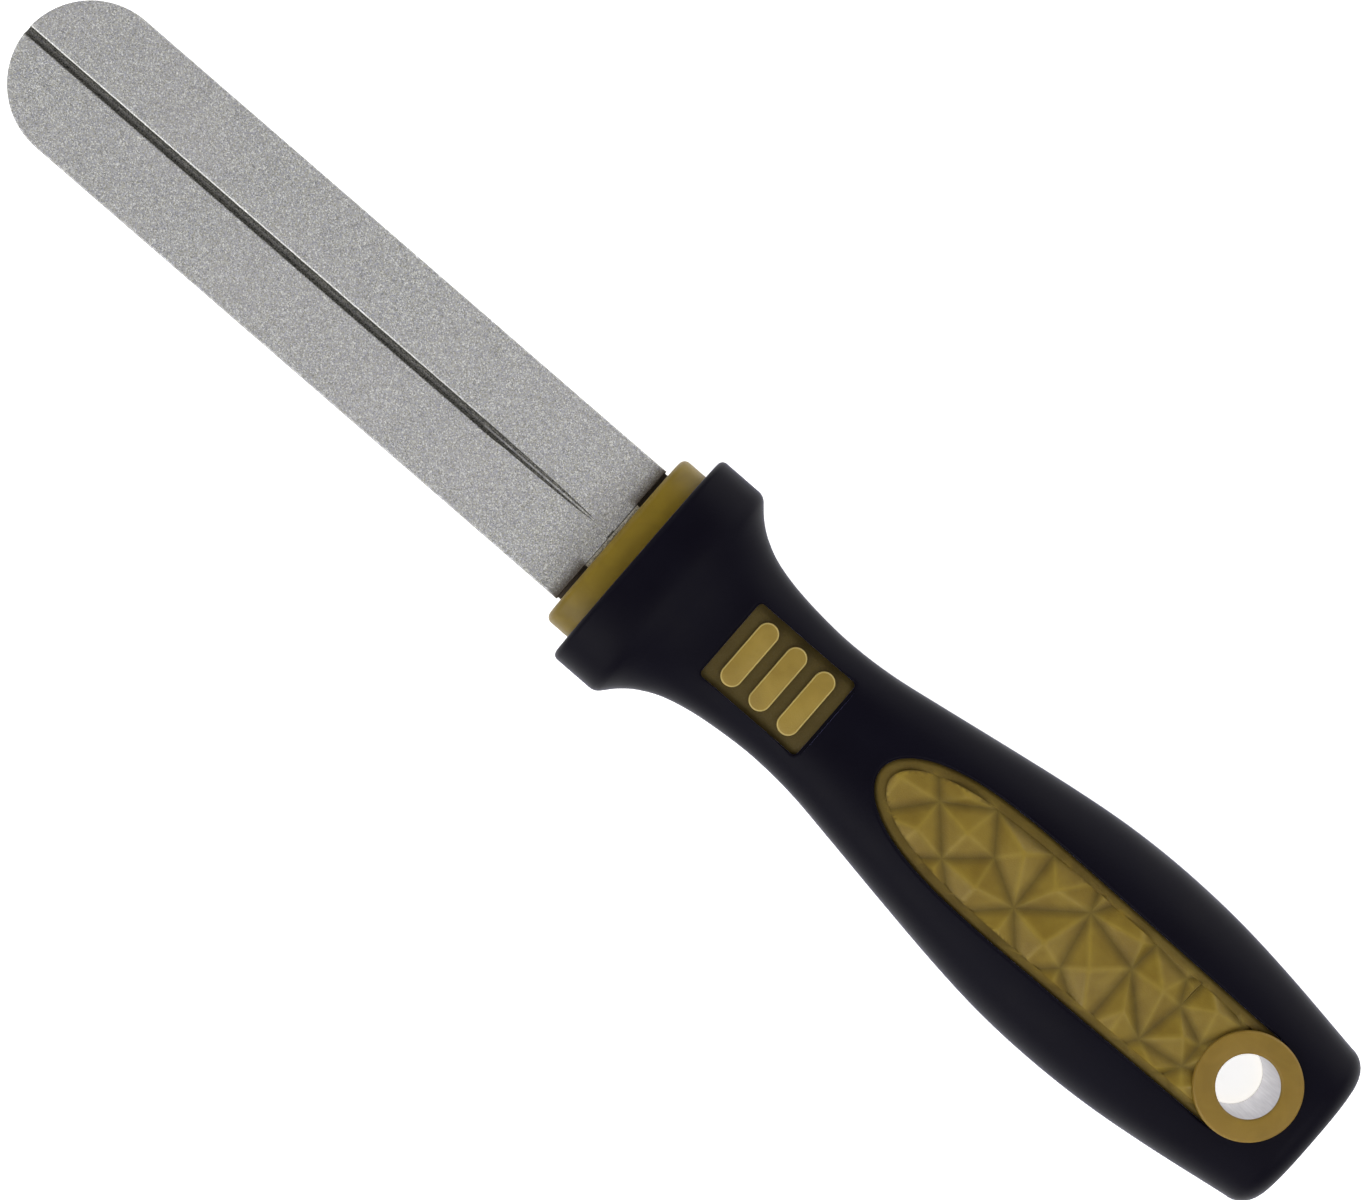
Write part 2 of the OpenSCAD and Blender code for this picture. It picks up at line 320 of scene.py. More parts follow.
@dataclass(frozen=True)
class Layout:
    """Places that the pieces share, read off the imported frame.

    Attributes:
        tip_x: The plate's tip.
        shoulder_x: The plate's shoulders.
        collar_x: The collar's front face.
        guard_x: The guard's front face.
        mid_z: The plane between the two faces.
        top_z: The front face's highest line.
        bore_x: The hanging hole's axis.
        hole_r: The hanging hole's radius.
    """

    tip_x: float
    shoulder_x: float
    collar_x: float
    guard_x: float
    mid_z: float
    top_z: float
    bore_x: float
    hole_r: float

    @classmethod
    def measured(cls) -> "Layout":
        """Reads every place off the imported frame."""
        plate_low, plate_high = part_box("diamond_coating")
        grip_low, grip_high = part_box("grip_overmould")
        bush_low, bush_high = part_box("eyelet_bush")
        hole = next(m for m in frame["record"]["mounts"] if m["name"] == "hang_hole")
        return cls(
            tip_x=plate_high.x,
            shoulder_x=plate_low.x,
            collar_x=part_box("handle_core")[1].x,
            guard_x=grip_high.x,
            mid_z=(grip_low.z + grip_high.z) / 2,
            top_z=grip_high.z,
            bore_x=(bush_low.x + bush_high.x) / 2,
            hole_r=hole["dims"]["r_mm"] * MM,
        )


@dataclass(frozen=True)
class GripShape:
    """The grip's outer form: superelliptic sections along the handle.

    Attributes:
        layout: The shared places.
        palm_w_mm: Width of the palm swell.
        grip_t_mm: Thickness of the guard and palm swell.
        power: How square the sections are; 2 is an ellipse.
        crown_edge: Share of the half width past which the surface is too steep to follow.
        box_power: The same for a section with four sharp corners.
        stations: Distance behind the guard face in mm, share of the palm's half width,
            and share of the half thickness.
    """

    layout: Layout
    palm_w_mm: float = 33.2
    grip_t_mm: float = 23.0
    power: float = 2.7
    crown_edge: float = 0.97
    box_power: float = 1e6
    stations: tuple[Ring, ...] = (
        (8.1, 1.02, 0.96), (9.6, 0.92, 0.885), (11.6, 0.825, 0.825), (14.6, 0.735, 0.77),
        (18.6, 0.672, 0.727), (23.6, 0.632, 0.702), (29.6, 0.613, 0.696), (36.6, 0.638, 0.717),
        (44.6, 0.712, 0.774), (54.6, 0.812, 0.86), (65.6, 0.915, 0.945), (74.6, 0.978, 0.988),
        (83.6, 1.0, 1.0), (93.6, 0.98, 0.972), (103.6, 0.915, 0.925), (116.8, 0.795, 0.862),
    )

    def along(self, s: float, column: int) -> float:
        """Follows a smooth curve through one column of the stations.

        Args:
            s: Distance behind the guard face, in mm.
            column: 1 for the width's share, 2 for the thickness's share.

        Returns:
            The share at s.
        """
        rows = self.stations
        i = next((k for k in range(len(rows) - 2) if s < rows[k + 1][0]), len(rows) - 2)
        low, high = rows[i], rows[i + 1]
        span = high[0] - low[0]
        u = max(0.0, min(1.0, (s - low[0]) / span))
        rise_low, rise_high = self._slope(i, column) * span, self._slope(i + 1, column) * span
        return (
            low[column] * (1 + 2 * u) * (1 - u) ** 2
            + rise_low * u * (1 - u) ** 2
            + high[column] * u * u * (3 - 2 * u)
            + rise_high * u * u * (u - 1)
        )

    def _slope(self, i: int, column: int) -> float:
        """Slope of a column at station i, from its neighbours."""
        before = self.stations[max(i - 1, 0)]
        after = self.stations[min(i + 1, len(self.stations) - 1)]
        return (after[column] - before[column]) / (after[0] - before[0])

    def half_w(self, s: float) -> float:
        """Half width of the grip at s, in mm."""
        return self.palm_w_mm / 2 * self.along(s, 1)

    def half_t(self, s: float) -> float:
        """Half thickness of the grip at s, in mm."""
        return self.grip_t_mm / 2 * self.along(s, 2)

    def x(self, s: float) -> float:
        """Place along the tool of a distance s mm behind the guard face."""
        return self.layout.guard_x - s * MM

    def crown(self, x: float, y: float) -> float:
        """Height of the front surface.

        Args:
            x: Place along the tool.
            y: Place across it.

        Returns:
            The height of the surface there.
        """
        s = (self.layout.guard_x - x) / MM
        share = min(self.crown_edge, abs(y) / MM / self.half_w(s))
        rise = self.half_t(s) * (1 - share**self.power) ** (1 / self.power)
        return self.layout.mid_z + rise * MM

    def section(
        self, turn: float, half_w: float, half_t: float, power: float | None = None
    ) -> tuple[float, float]:
        """Point of a superelliptic section.

        Args:
            turn: Angle round the section, in radians.
            half_w: Half width.
            half_t: Half thickness.
            power: How square it is, the grip's own if left out.

        Returns:
            The point's place across and its height above the middle.
        """
        c, s, e = math.cos(turn), math.sin(turn), 2 / (power or self.power)
        return (
            math.copysign(half_w * abs(c) ** e, c),
            math.copysign(half_t * abs(s) ** e, s),
        )

    def loft(
        self, name: str, rings: Sequence[Ring], points: int, power: float | None = None
    ) -> Piece:
        """Draws a section and extrudes it along the handle, ring by ring.

        Args:
            name: The new object's name.
            rings: Distance behind the guard face, half width and half thickness, in mm.
            points: Points round each ring; four make a plain box section.
            power: How square the sections are, the grip's own if left out.

        Returns:
            The closed solid.
        """
        mid = self.layout.mid_z
        boxed = points == 4
        deselect()
        bpy.ops.mesh.primitive_circle_add(vertices=points, radius=0.01, fill_type="NGON")
        solid = bpy.context.active_object
        solid.name = name
        s, half_w, half_t = rings[0]

        def place(k: int, _: Vector) -> Vector:
            """Gives the place of one point of the first ring."""
            turn = math.tau * (k + 0.5 * boxed) / points
            y, z = self.section(turn, half_w * MM, half_t * MM, self.box_power if boxed else power)
            return Vector((self.x(s), y, mid + z))

        with editing(solid, "FACE"):
            shape_points(solid, place)
            bpy.ops.mesh.select_all(action="SELECT")
            for (a, wa, ta), (b, wb, tb) in zip(rings, rings[1:]):
                bpy.ops.mesh.extrude_region_move(
                    TRANSFORM_OT_translate={"value": ((a - b) * MM, 0, 0)}
                )
                bpy.ops.transform.resize(
                    value=(1, wb / wa, tb / ta), center_override=(self.x(b), 0, mid)
                )
            bpy.ops.mesh.select_all(action="SELECT")
            bpy.ops.mesh.normals_make_consistent(inside=False)
        return solid


@dataclass(frozen=True)
class Windows:
    """Outlines of the badge and palm windows.

    Attributes:
        grip: The grip's form.
        badge_at_mm: Middle of the badge window, behind the guard face.
        badge_l_mm: Its length.
        badge_w_mm: Its width.
        badge_round_mm: Radius of its corners.
        pad_from_mm: Nose of the palm window, behind the guard face.
        pad_nose_mm: Length over which it widens.
        pad_w_mm: Its full width.
        pad_taper_mm: How much it narrows at each side on the way to the bush.
        nose_inset: How much further an inset moves the nose than the sides.
        least_round_mm: Radius that no inset corner goes under.
    """

    grip: GripShape
    badge_at_mm: float = 25.1
    badge_l_mm: float = 17.0
    badge_w_mm: float = 12.8
    badge_round_mm: float = 0.7
    pad_from_mm: float = 43.4
    pad_nose_mm: float = 27.0
    pad_w_mm: float = 16.0
    pad_taper_mm: float = 0.4
    nose_inset: float = 1.25
    least_round_mm: float = 0.2

    def badge(self, inset_mm: float = 0.0, steps: int = 8) -> Outline:
        """Rounded rectangle of the badge window.

        Args:
            inset_mm: How far to set it in.
            steps: Steps round each corner.

        Returns:
            Its corners, counter-clockwise.
        """
        r = max(self.least_round_mm, self.badge_round_mm - inset_mm)
        return rounded_box(
            self.grip.x(self.badge_at_mm),
            (self.badge_l_mm / 2 - inset_mm) * MM,
            (self.badge_w_mm / 2 - inset_mm) * MM,
            r * MM,
            steps,
        )

    def pad_half(self, s: float, inset_mm: float) -> float:
        """Half width of the palm window at s, set in by inset_mm, all in mm."""
        u = max(0.0, min(1.0, (s - self.pad_from_mm - self.nose_inset * inset_mm) / self.pad_nose_mm))
        return (self.pad_w_mm / 2 - inset_mm) * math.sqrt(1 - (1 - u) ** 3)

    def pad(self, inset_mm: float = 0.0, steps: int = 40, rear: int = 20) -> Outline:
        """Bullet-shaped outline of the palm window, running under the bush.

        Args:
            inset_mm: How far to set it in.
            steps: Steps along the nose.
            rear: Steps along each straight side.

        Returns:
            Its corners, counter-clockwise.
        """
        start = self.pad_from_mm + self.nose_inset * inset_mm
        end = (self.grip.layout.guard_x - self.grip.layout.bore_x) / MM
        nose = [start + self.pad_nose_mm * (k / steps) ** 2 for k in range(steps + 1)]
        run = [nose[-1] + (end - nose[-1]) * k / rear for k in range(1, rear + 1)]
        side = []
        for s in nose + run:
            taper = self.pad_taper_mm * max(0.0, (s - nose[-1]) / (end - nose[-1]))
            side.append((self.grip.x(s), (self.pad_half(s, inset_mm) - taper) * MM))
        return side + [(x, -y) for x, y in reversed(side[1:])]


def rounded_box(centre_x: float, half_l: float, half_w: float, r: float, steps: int) -> Outline:
    """Rectangle with round corners about a place on the centre line.

    Args:
        centre_x: Its middle.
        half_l: Half its length.
        half_w: Half its width.
        r: Radius of its corners.
        steps: Steps round each corner.

    Returns:
        Its corners, counter-clockwise.
    """
    outline = []
    for quarter, (sx, sy) in enumerate(((1, 1), (-1, 1), (-1, -1), (1, -1))):
        for k in range(steps + 1):
            turn = math.pi / 2 * (quarter + k / steps)
            outline.append(
                (
                    centre_x + sx * (half_l - r) + r * math.cos(turn),
                    sy * (half_w - r) + r * math.sin(turn),
                )
            )
    return outline


# ---------------------------------------------------------------- finishes


def linear(colour: str) -> tuple[float, float, float, float]:
    """Turns an sRGB hex colour to linear light.

    Args:
        colour: Such as "#A0A0A0".

    Returns:
        Red, green, blue and an alpha of 1.
    """
    parts = [int(colour[i : i + 2], 16) / 255 for i in (1, 3, 5)]
    light = [p / 12.92 if p <= 0.04045 else ((p + 0.055) / 1.055) ** 2.4 for p in parts]
    return (light[0], light[1], light[2], 1.0)


def add(tree: Tree, kind: str, inputs: dict | None = None, **settings: object) -> Node:
    """Adds a node with its settings and links.

    Args:
        tree: The node tree.
        kind: The node's type.
        inputs: Socket name or number to a value, or to another node's output.
        **settings: The node's own settings.

    Returns:
        The new node.
    """
    made = tree.nodes.new(kind)
    for name, value in settings.items():
        setattr(made, name, value)
    for key, value in (inputs or {}).items():
        if isinstance(value, bpy.types.NodeSocket):
            tree.links.new(value, made.inputs[key])
        else:
            made.inputs[key].default_value = value
    return made


@dataclass(frozen=True)
class Finish:
    """What every finish shares.

    Attributes:
        slot: The record's material slot that it stands for.
        variant: Sets apart two mixes of one finish.
    """

    slot: str
    variant: str = "plain"

    def material(self) -> bpy.types.Material:
        """Builds the finish once and hands out the same material after that."""
        name = f"{type(self).__name__}_{self.slot}_{self.variant}"
        made = bpy.data.materials.get(name)
        if made is None:
            made = bpy.data.materials.new(name)
            made.use_nodes = True
            made.node_tree.nodes.clear()
            tree = made.node_tree
            places = add(tree, "ShaderNodeTexCoord").outputs["Object"]
            shader = self.shade(tree, places)
            add(tree, "ShaderNodeOutputMaterial", {"Surface": shader.outputs[0]})
        return made

    def shade(self, tree: Tree, places: Socket) -> Node:
        """Builds the shader from an object's own coordinates. Each finish has its own."""
        raise NotImplementedError

    def dress_node(self, name: str) -> None:
        """Gives a CAD node this finish, and leaves its shape alone."""
        for place in bpy.data.objects[name].material_slots:
            place.material = self.material()

    def dress(self, obj: Piece) -> None:
        """Gives an object this finish."""
        obj.data.materials.clear()
        obj.data.materials.append(self.material())


@dataclass(frozen=True)
class DiamondGrit(Finish):
    """Diamond grains held in electroplated nickel: a pale sparkling grey, never polished.

    The grains are 0.05 mm across. They are drawn 0.14 mm across, as fine as can show.

    Attributes:
        nickel: The plating.
        brassy: The plating where it is warmer.
        bright: Grains that catch the light.
        dark: Grains in shade.
        bloom: The plating's broad clouds.
        groove_shade: Painted shade in the groove, darker where it is deep or steep.
        dust: The same painted shade, paler where the clumps fall.
        rim: Painted highlight on the groove's chamfer on the side that faces the key light, broken up as by
            rubbing.
        shade_and_tarnish: Painted shade beside the collar's gap at the shoulders, with some tarnish.
        grain_mm: Width that a grain is drawn.
        clump_mm: Width of a clump of grains.
        cloud_mm: Width of a cloud.
        ragged_mm: How far clumps shift the edge of the groove's painted shade.
        groove_half_mm: Half the groove's width.
        sunk_mm: Depths at which the groove's floor starts and ends to darken.
        seat_mm: Depth below which nothing of the groove is drawn.
        shoulder_x: Place along the tool of the shoulders.
        used_mm: How far from the shoulders the rim's painted highlight is strongest, and weakest.
        fade_mm: How far from the shoulders the painted shade and tarnish start, and are full.
        wing_mm: How far from the centre line the painted shade and tarnish start, and are full.
        face_z: Height of the front face.
    """

    nickel: str = "#9C9DA9"
    brassy: str = "#A8A699"
    bright: str = "#E4E4E0"
    dark: str = "#4E4E4A"
    bloom: str = "#B4AEB2"
    groove_shade: str = "#131210"
    dust: str = "#6C6A62"
    rim: str = "#F4F4F0"
    shade_and_tarnish: str = "#3E3222"
    grain_mm: float = 0.14
    clump_mm: float = 0.24
    cloud_mm: float = 14.0
    ragged_mm: float = 0.6
    groove_half_mm: float = 0.72
    sunk_mm: tuple[float, float] = (0.7, 0.8)
    seat_mm: float = 1.1
    shoulder_x: float = 0.0
    used_mm: tuple[float, float] = (48.0, 22.0)
    fade_mm: tuple[float, float] = (1.9, 0.2)
    wing_mm: tuple[float, float] = (4.4, 5.6)
    face_z: float = 0.0

    def shade(self, tree: Tree, places: Socket) -> Node:
        """Grains of random brightness and tilt, painted shade in the groove, a painted highlight on one rim,
        and painted shade with tarnish at the shoulders.
        """
        grains = add(tree, "ShaderNodeTexVoronoi", {"Vector": places, "Scale": 1 / (self.grain_mm * MM)})
        lot = add(tree, "ShaderNodeSeparateColor", {0: grains.outputs["Color"]}).outputs
        clumps = add(
            tree, "ShaderNodeTexNoise",
            {"Vector": places, "Scale": 1 / (self.clump_mm * MM), "Detail": 2.0, "Roughness": 0.7},
        ).outputs["Fac"]
        share = self.shares(tree, places, lot, clumps)
        # The groove's dark is painted shade, deeper where the groove is deep and where its walls are steep.
        groove_shade = add(
            tree, "ShaderNodeMix", {0: share["shade_clumps"], 6: linear(self.groove_shade), 7: linear(self.dust)},
            data_type="RGBA",
        ).outputs[2]
        colour = linear(self.nickel)
        for cover, over in (
            (lot[1], linear(self.brassy)),
            (share["lit"], linear(self.bright)),
            (share["shaded"], linear(self.dark)),
            (share["cloudy"], linear(self.bloom)),
            (share["groove"], groove_shade),
            # Painted highlight on the rim chamfer that faces the key light.
            (share["rim"], linear(self.rim)),
            # Painted shade beside the gap to the collar, with some tarnish.
            (share["shoulder"], linear(self.shade_and_tarnish)),
        ):
            colour = add(tree, "ShaderNodeMix", {0: cover, 6: colour, 7: over}, data_type="RGBA").outputs[2]
        relief = add(tree, "ShaderNodeMath", {0: grains.outputs["Distance"], 1: clumps}, operation="ADD")
        bump = add(
            tree, "ShaderNodeBump", {"Height": relief.outputs[0], "Strength": 0.55, "Distance": 0.05 * MM},
        )
        return add(
            tree, "ShaderNodeBsdfPrincipled",
            {"Base Color": colour, "Metallic": 0.45, "Roughness": share["rough"], "Normal": bump.outputs[0]},
        )

    def shares(self, tree: Tree, places: Socket, lot: Sequence[Socket], clumps: Socket) -> dict[str, Socket]:
        """Works out how much of each effect shows at a place.

        Args:
            tree: The node tree.
            places: The object's own coordinates.
            lot: Three random numbers, the same all over one grain.
            clumps: Uneven noise, as wide as a clump of grains.

        Returns:
            Each effect's share by its name.
        """
        along, y, z = add(tree, "ShaderNodeSeparateXYZ", {0: places}).outputs
        facing = add(tree, "ShaderNodeNewGeometry").outputs["True Normal"]
        level = add(tree, "ShaderNodeSeparateXYZ", {0: facing}).outputs[2]
        cloud = add(
            tree, "ShaderNodeTexNoise", {"Vector": places, "Scale": 1 / (self.cloud_mm * MM), "Detail": 1.0},
        ).outputs["Fac"]
        across = add(tree, "ShaderNodeMath", {0: y}, operation="ABSOLUTE").outputs[0]
        ragged = add(
            tree, "ShaderNodeMath", {0: clumps, 1: self.ragged_mm * MM, 2: y}, operation="MULTIPLY_ADD",
        ).outputs[0]
        half, face, shoulder = self.groove_half_mm, self.face_z, self.shoulder_x
        share = {}
        # Each row gives what a share goes by, where it starts and ends, and its value at both.
        for name, value, start, end, low, high in (
            ("lit", lot[0], 0.6, 1.0, 0.0, 0.75),
            ("shaded", lot[2], 0.42, 0.0, 0.0, 0.62),
            ("cloudy", cloud, 0.3, 0.7, 0.0, 0.1),
            ("rough", lot[1], 0.0, 1.0, 0.42, 0.8),
            ("near", ragged, (half + 0.38) * MM, (half + 0.22) * MM, 0.0, 1.0),
            ("sunk", z, face - self.sunk_mm[0] * MM, face - self.sunk_mm[1] * MM, 0.0, 0.8),
            ("steep", level, 0.997, 0.965, 0.0, 0.96),
            ("shade_clumps", clumps, 0.4, 0.62, 0.0, 1.0),
            ("chamfer", level, 0.76, 0.8, 0.0, 0.85),
            ("tilted", level, 0.9, 0.84, 0.0, 1.0),
            ("outside", across, (half - 0.09) * MM, (half - 0.07) * MM, 0.0, 1.0),
            ("rubbed", clumps, 0.42, 0.58, 0.35, 1.0),
            ("used", along, shoulder + self.used_mm[0] * MM, shoulder + self.used_mm[1] * MM, 1.0, 0.3),
            ("rear", along, shoulder + self.fade_mm[0] * MM, shoulder + self.fade_mm[1] * MM, 0.0, 0.9),
            ("wing", across, self.wing_mm[0] * MM, self.wing_mm[1] * MM, 0.0, 1.0),
        ):
            share[name] = add(
                tree, "ShaderNodeMapRange",
                {"Value": value, "From Min": start, "From Max": end, "To Min": low, "To Max": high},
            ).outputs[0]
        for name, operation, value, limit in (
            ("upper", "GREATER_THAN", z, face - self.seat_mm * MM),
            ("inner", "GREATER_THAN", y, -(half - 0.07) * MM),
            ("band", "LESS_THAN", across, (half + 0.3) * MM),
            # Keeps the painted highlight to the rim whose chamfer faces the key light.
            ("key_lit_side", "LESS_THAN", y, 0.0),
            ("hollow", "MAXIMUM", share["sunk"], share["steep"]),
        ):
            share[name] = add(tree, "ShaderNodeMath", {0: value, 1: limit}, operation=operation).outputs[0]
        for name, first, *others in (
            ("groove", "near", "inner", "hollow", "upper"),
            ("rim", "chamfer", "tilted", "outside", "band", "upper", "key_lit_side", "rubbed", "used"),
            ("shoulder", "rear", "wing"),
        ):
            share[name] = share[first]
            for other in others:
                factors = {0: share[name], 1: share[other]}
                share[name] = add(tree, "ShaderNodeMath", factors, operation="MULTIPLY").outputs[0]
        return share


@dataclass(frozen=True)
class GroundSteel(Finish):
    """Carbon steel ground across its width, darkened by the heat of bonding.

    Attributes:
        steel: The bare metal.
        dark: Its tarnish.
        line_mm: Width and length of a grinding line.
        cloud_mm: Width of a cloud of tarnish.
    """

    steel: str = "#6F6B64"
    dark: str = "#3C3833"
    line_mm: tuple[float, float] = (0.12, 6.0)
    cloud_mm: float = 2.5

    def shade(self, tree: Tree, places: Socket) -> Node:
        """Fine grinding lines across the strip over a cloudy tarnish."""
        narrow, long = (1 / (size * MM) for size in self.line_mm)
        lines = add(tree, "ShaderNodeMapping", {0: places, "Scale": (narrow, long, long)})
        grind = add(tree, "ShaderNodeTexNoise", {"Vector": lines.outputs[0], "Scale": 1.0, "Detail": 2.0})
        cloud = add(
            tree, "ShaderNodeTexNoise", {"Vector": places, "Scale": 1 / (self.cloud_mm * MM), "Detail": 3.0},
        )
        colour = add(
            tree, "ShaderNodeMix", {0: cloud.outputs["Fac"], 6: linear(self.steel), 7: linear(self.dark)},
            data_type="RGBA",
        )
        rough = add(
            tree, "ShaderNodeMapRange", {"Value": grind.outputs["Fac"], "To Min": 0.3, "To Max": 0.55},
        )
        bump = add(
            tree, "ShaderNodeBump", {"Height": grind.outputs["Fac"], "Strength": 0.3, "Distance": 0.02 * MM},
        )
        return add(
            tree, "ShaderNodeBsdfPrincipled",
            {"Base Color": colour.outputs[2], "Metallic": 1.0, "Roughness": rough.outputs[0],
             "Normal": bump.outputs[0]},
        )


@dataclass(frozen=True)
class SoftRubber(Finish):
    """Thermoplastic rubber moulded against a spark-eroded tool: blue-black, dull and faintly downy.

    Attributes:
        black: The rubber.
        worn: The rubber where hands have rubbed it.
        down: The tint of the down that shows at grazing angles.
        grain_mm: Width of the eroded grain.
        cloud_mm: Width of a handling mark.
        seam_z: Height of the mould's parting line.
        seam_mm: Its half width.
    """

    black: str = "#08060E"
    worn: str = "#0C0B15"
    down: str = "#AFAEF0"
    grain_mm: float = 0.22
    cloud_mm: float = 9.0
    seam_z: float = 0.0
    seam_mm: float = 0.09

    def shade(self, tree: Tree, places: Socket) -> Node:
        """A fine eroded grain, cloudy handling marks, the mould's seam, and down at grazing angles."""
        grain = add(
            tree, "ShaderNodeTexNoise",
            {"Vector": places, "Scale": 1 / (self.grain_mm * MM), "Detail": 2.0, "Roughness": 0.6},
        )
        cloud = add(
            tree, "ShaderNodeTexNoise", {"Vector": places, "Scale": 1 / (self.cloud_mm * MM), "Detail": 3.0},
        )
        colour = add(
            tree, "ShaderNodeMix", {0: cloud.outputs["Fac"], 6: linear(self.black), 7: linear(self.worn)},
            data_type="RGBA",
        )
        rough = add(
            tree, "ShaderNodeMapRange",
            {"Value": cloud.outputs["Fac"], "From Min": 0.3, "From Max": 0.7, "To Min": 0.42, "To Max": 0.52},
        )
        apart = add(tree, "ShaderNodeSeparateXYZ", {0: places})
        above = add(tree, "ShaderNodeMath", {0: apart.outputs[2], 1: self.seam_z}, operation="SUBTRACT")
        off = add(tree, "ShaderNodeMath", {0: above.outputs[0]}, operation="ABSOLUTE")
        seam = add(
            tree, "ShaderNodeMapRange",
            {"Value": off.outputs[0], "From Min": self.seam_mm * MM, "From Max": 0.0, "To Min": 0.0,
             "To Max": 1.6},
        )
        height = add(tree, "ShaderNodeMath", {0: grain.outputs["Fac"], 1: seam.outputs[0]}, operation="ADD")
        bump = add(
            tree, "ShaderNodeBump", {"Height": height.outputs[0], "Strength": 0.25, "Distance": 0.03 * MM},
        )
        return add(
            tree, "ShaderNodeBsdfPrincipled",
            {"Base Color": colour.outputs[2], "Roughness": rough.outputs[0], "Normal": bump.outputs[0],
             "IOR": 1.5, "Specular IOR Level": 0.045, "Sheen Weight": 0.25, "Sheen Roughness": 0.18,
             "Sheen Tint": linear(self.down)},
        )


@dataclass(frozen=True)
class OlivePlastic(Finish):
    """Polypropylene tinted olive and moulded satin: light sinks in a little, so its edges glow.

    Attributes:
        olive: The plastic.
        deep: The plastic where the tint has flowed thicker.
        flow_mm: Width of a flow cloud.
        grain_mm: Width of the moulding grain.
        rough_low: How rough it is at its smoothest.
        glow: How much of the light sinks in.
    """

    olive: str = "#735F14"
    deep: str = "#5B4A0B"
    flow_mm: float = 5.0
    grain_mm: float = 0.2
    rough_low: float = 0.42
    glow: float = 0.2

    def shade(self, tree: Tree, places: Socket) -> Node:
        """Flow clouds, a trace of moulding grain and shallow subsurface light."""
        flow = add(
            tree, "ShaderNodeTexNoise",
            {"Vector": places, "Scale": 1 / (self.flow_mm * MM), "Detail": 4.0, "Roughness": 0.55,
             "Distortion": 0.6},
        )
        grain = add(
            tree, "ShaderNodeTexNoise", {"Vector": places, "Scale": 1 / (self.grain_mm * MM), "Detail": 2.0},
        )
        share = add(
            tree, "ShaderNodeMapRange",
            {"Value": flow.outputs["Fac"], "From Min": 0.35, "From Max": 0.65, "To Min": 0.0, "To Max": 0.6},
        )
        colour = add(
            tree, "ShaderNodeMix", {0: share.outputs[0], 6: linear(self.olive), 7: linear(self.deep)},
            data_type="RGBA",
        )
        rough = add(
            tree, "ShaderNodeMapRange",
            {"Value": grain.outputs["Fac"], "From Min": 0.3, "From Max": 0.7,
             "To Min": self.rough_low, "To Max": self.rough_low + 0.12},
        )
        bump = add(
            tree, "ShaderNodeBump", {"Height": grain.outputs["Fac"], "Strength": 0.15, "Distance": 0.02 * MM},
        )
        return add(
            tree, "ShaderNodeBsdfPrincipled",
            {"Base Color": colour.outputs[2], "Roughness": rough.outputs[0], "Normal": bump.outputs[0],
             "IOR": 1.49, "Specular IOR Level": 0.25, "Subsurface Weight": self.glow,
             "Subsurface Radius": OLIVE_DEPTHS, "Subsurface Scale": 0.9 * MM},
        )


@dataclass(frozen=True)
class OliveRubber(Finish):
    """Tinted thermoplastic rubber with a faceted face, with a painted highlight on its ridges and painted
    shade in its folds.

    It reads two attributes that the inlays paint on their points: a painted highlight and painted shade.

    Attributes:
        olive: The rubber.
        deep: The rubber where the tint is thicker.
        ridge: Painted highlight on the ridges.
        fold: Painted shade in the folds, on sunk floors and on ledges.
        cloud_mm: Width of a cloud.
        sand_mm: Width of the sandy grain.
    """

    olive: str = "#786320"
    deep: str = "#655014"
    ridge: str = "#9C873A"
    fold: str = "#241C07"
    cloud_mm: float = 4.5
    sand_mm: float = 0.2

    def shade(self, tree: Tree, places: Socket) -> Node:
        """Cloudy olive, a painted highlight on the ridges, painted shade in the folds, and a sandy grain."""
        cloud = add(
            tree, "ShaderNodeTexNoise",
            {"Vector": places, "Scale": 1 / (self.cloud_mm * MM), "Detail": 4.0, "Distortion": 0.4},
        )
        sand = add(
            tree, "ShaderNodeTexNoise",
            {"Vector": places, "Scale": 1 / (self.sand_mm * MM), "Detail": 2.0, "Roughness": 0.75},
        )
        share = add(
            tree, "ShaderNodeMapRange",
            {"Value": cloud.outputs["Fac"], "From Min": 0.35, "From Max": 0.65, "To Min": 0.0, "To Max": 0.7},
        )
        ridge = add(tree, "ShaderNodeAttribute", attribute_name="ridge")
        fold = add(tree, "ShaderNodeAttribute", attribute_name="fold")
        # Painted highlight along the ridges and painted shade in the folds, from the inlays' painted
        # attributes.
        pale = add(tree, "ShaderNodeMath", {0: ridge.outputs["Fac"], 1: 0.4}, operation="MULTIPLY")
        dark = add(tree, "ShaderNodeMath", {0: fold.outputs["Fac"], 1: 0.85}, operation="MULTIPLY")
        colour = linear(self.olive)
        for cover, over in ((share, self.deep), (pale, self.ridge), (dark, self.fold)):
            colour = add(
                tree, "ShaderNodeMix", {0: cover.outputs[0], 6: colour, 7: linear(over)}, data_type="RGBA",
            ).outputs[2]
        rough = add(
            tree, "ShaderNodeMapRange",
            {"Value": sand.outputs["Fac"], "From Min": 0.35, "From Max": 0.65, "To Min": 0.3, "To Max": 0.6},
        )
        dull = add(
            tree, "ShaderNodeMath", {0: fold.outputs["Fac"], 1: 0.3, 2: rough.outputs[0]},
            operation="MULTIPLY_ADD",
        )
        bump = add(
            tree, "ShaderNodeBump", {"Height": sand.outputs["Fac"], "Strength": 0.7, "Distance": 0.06 * MM},
        )
        return add(
            tree, "ShaderNodeBsdfPrincipled",
            {"Base Color": colour, "Roughness": dull.outputs[0], "Normal": bump.outputs[0],
             "IOR": 1.5, "Specular IOR Level": 0.22, "Subsurface Weight": 0.12,
             "Subsurface Radius": OLIVE_DEPTHS, "Subsurface Scale": 0.8 * MM},
        )


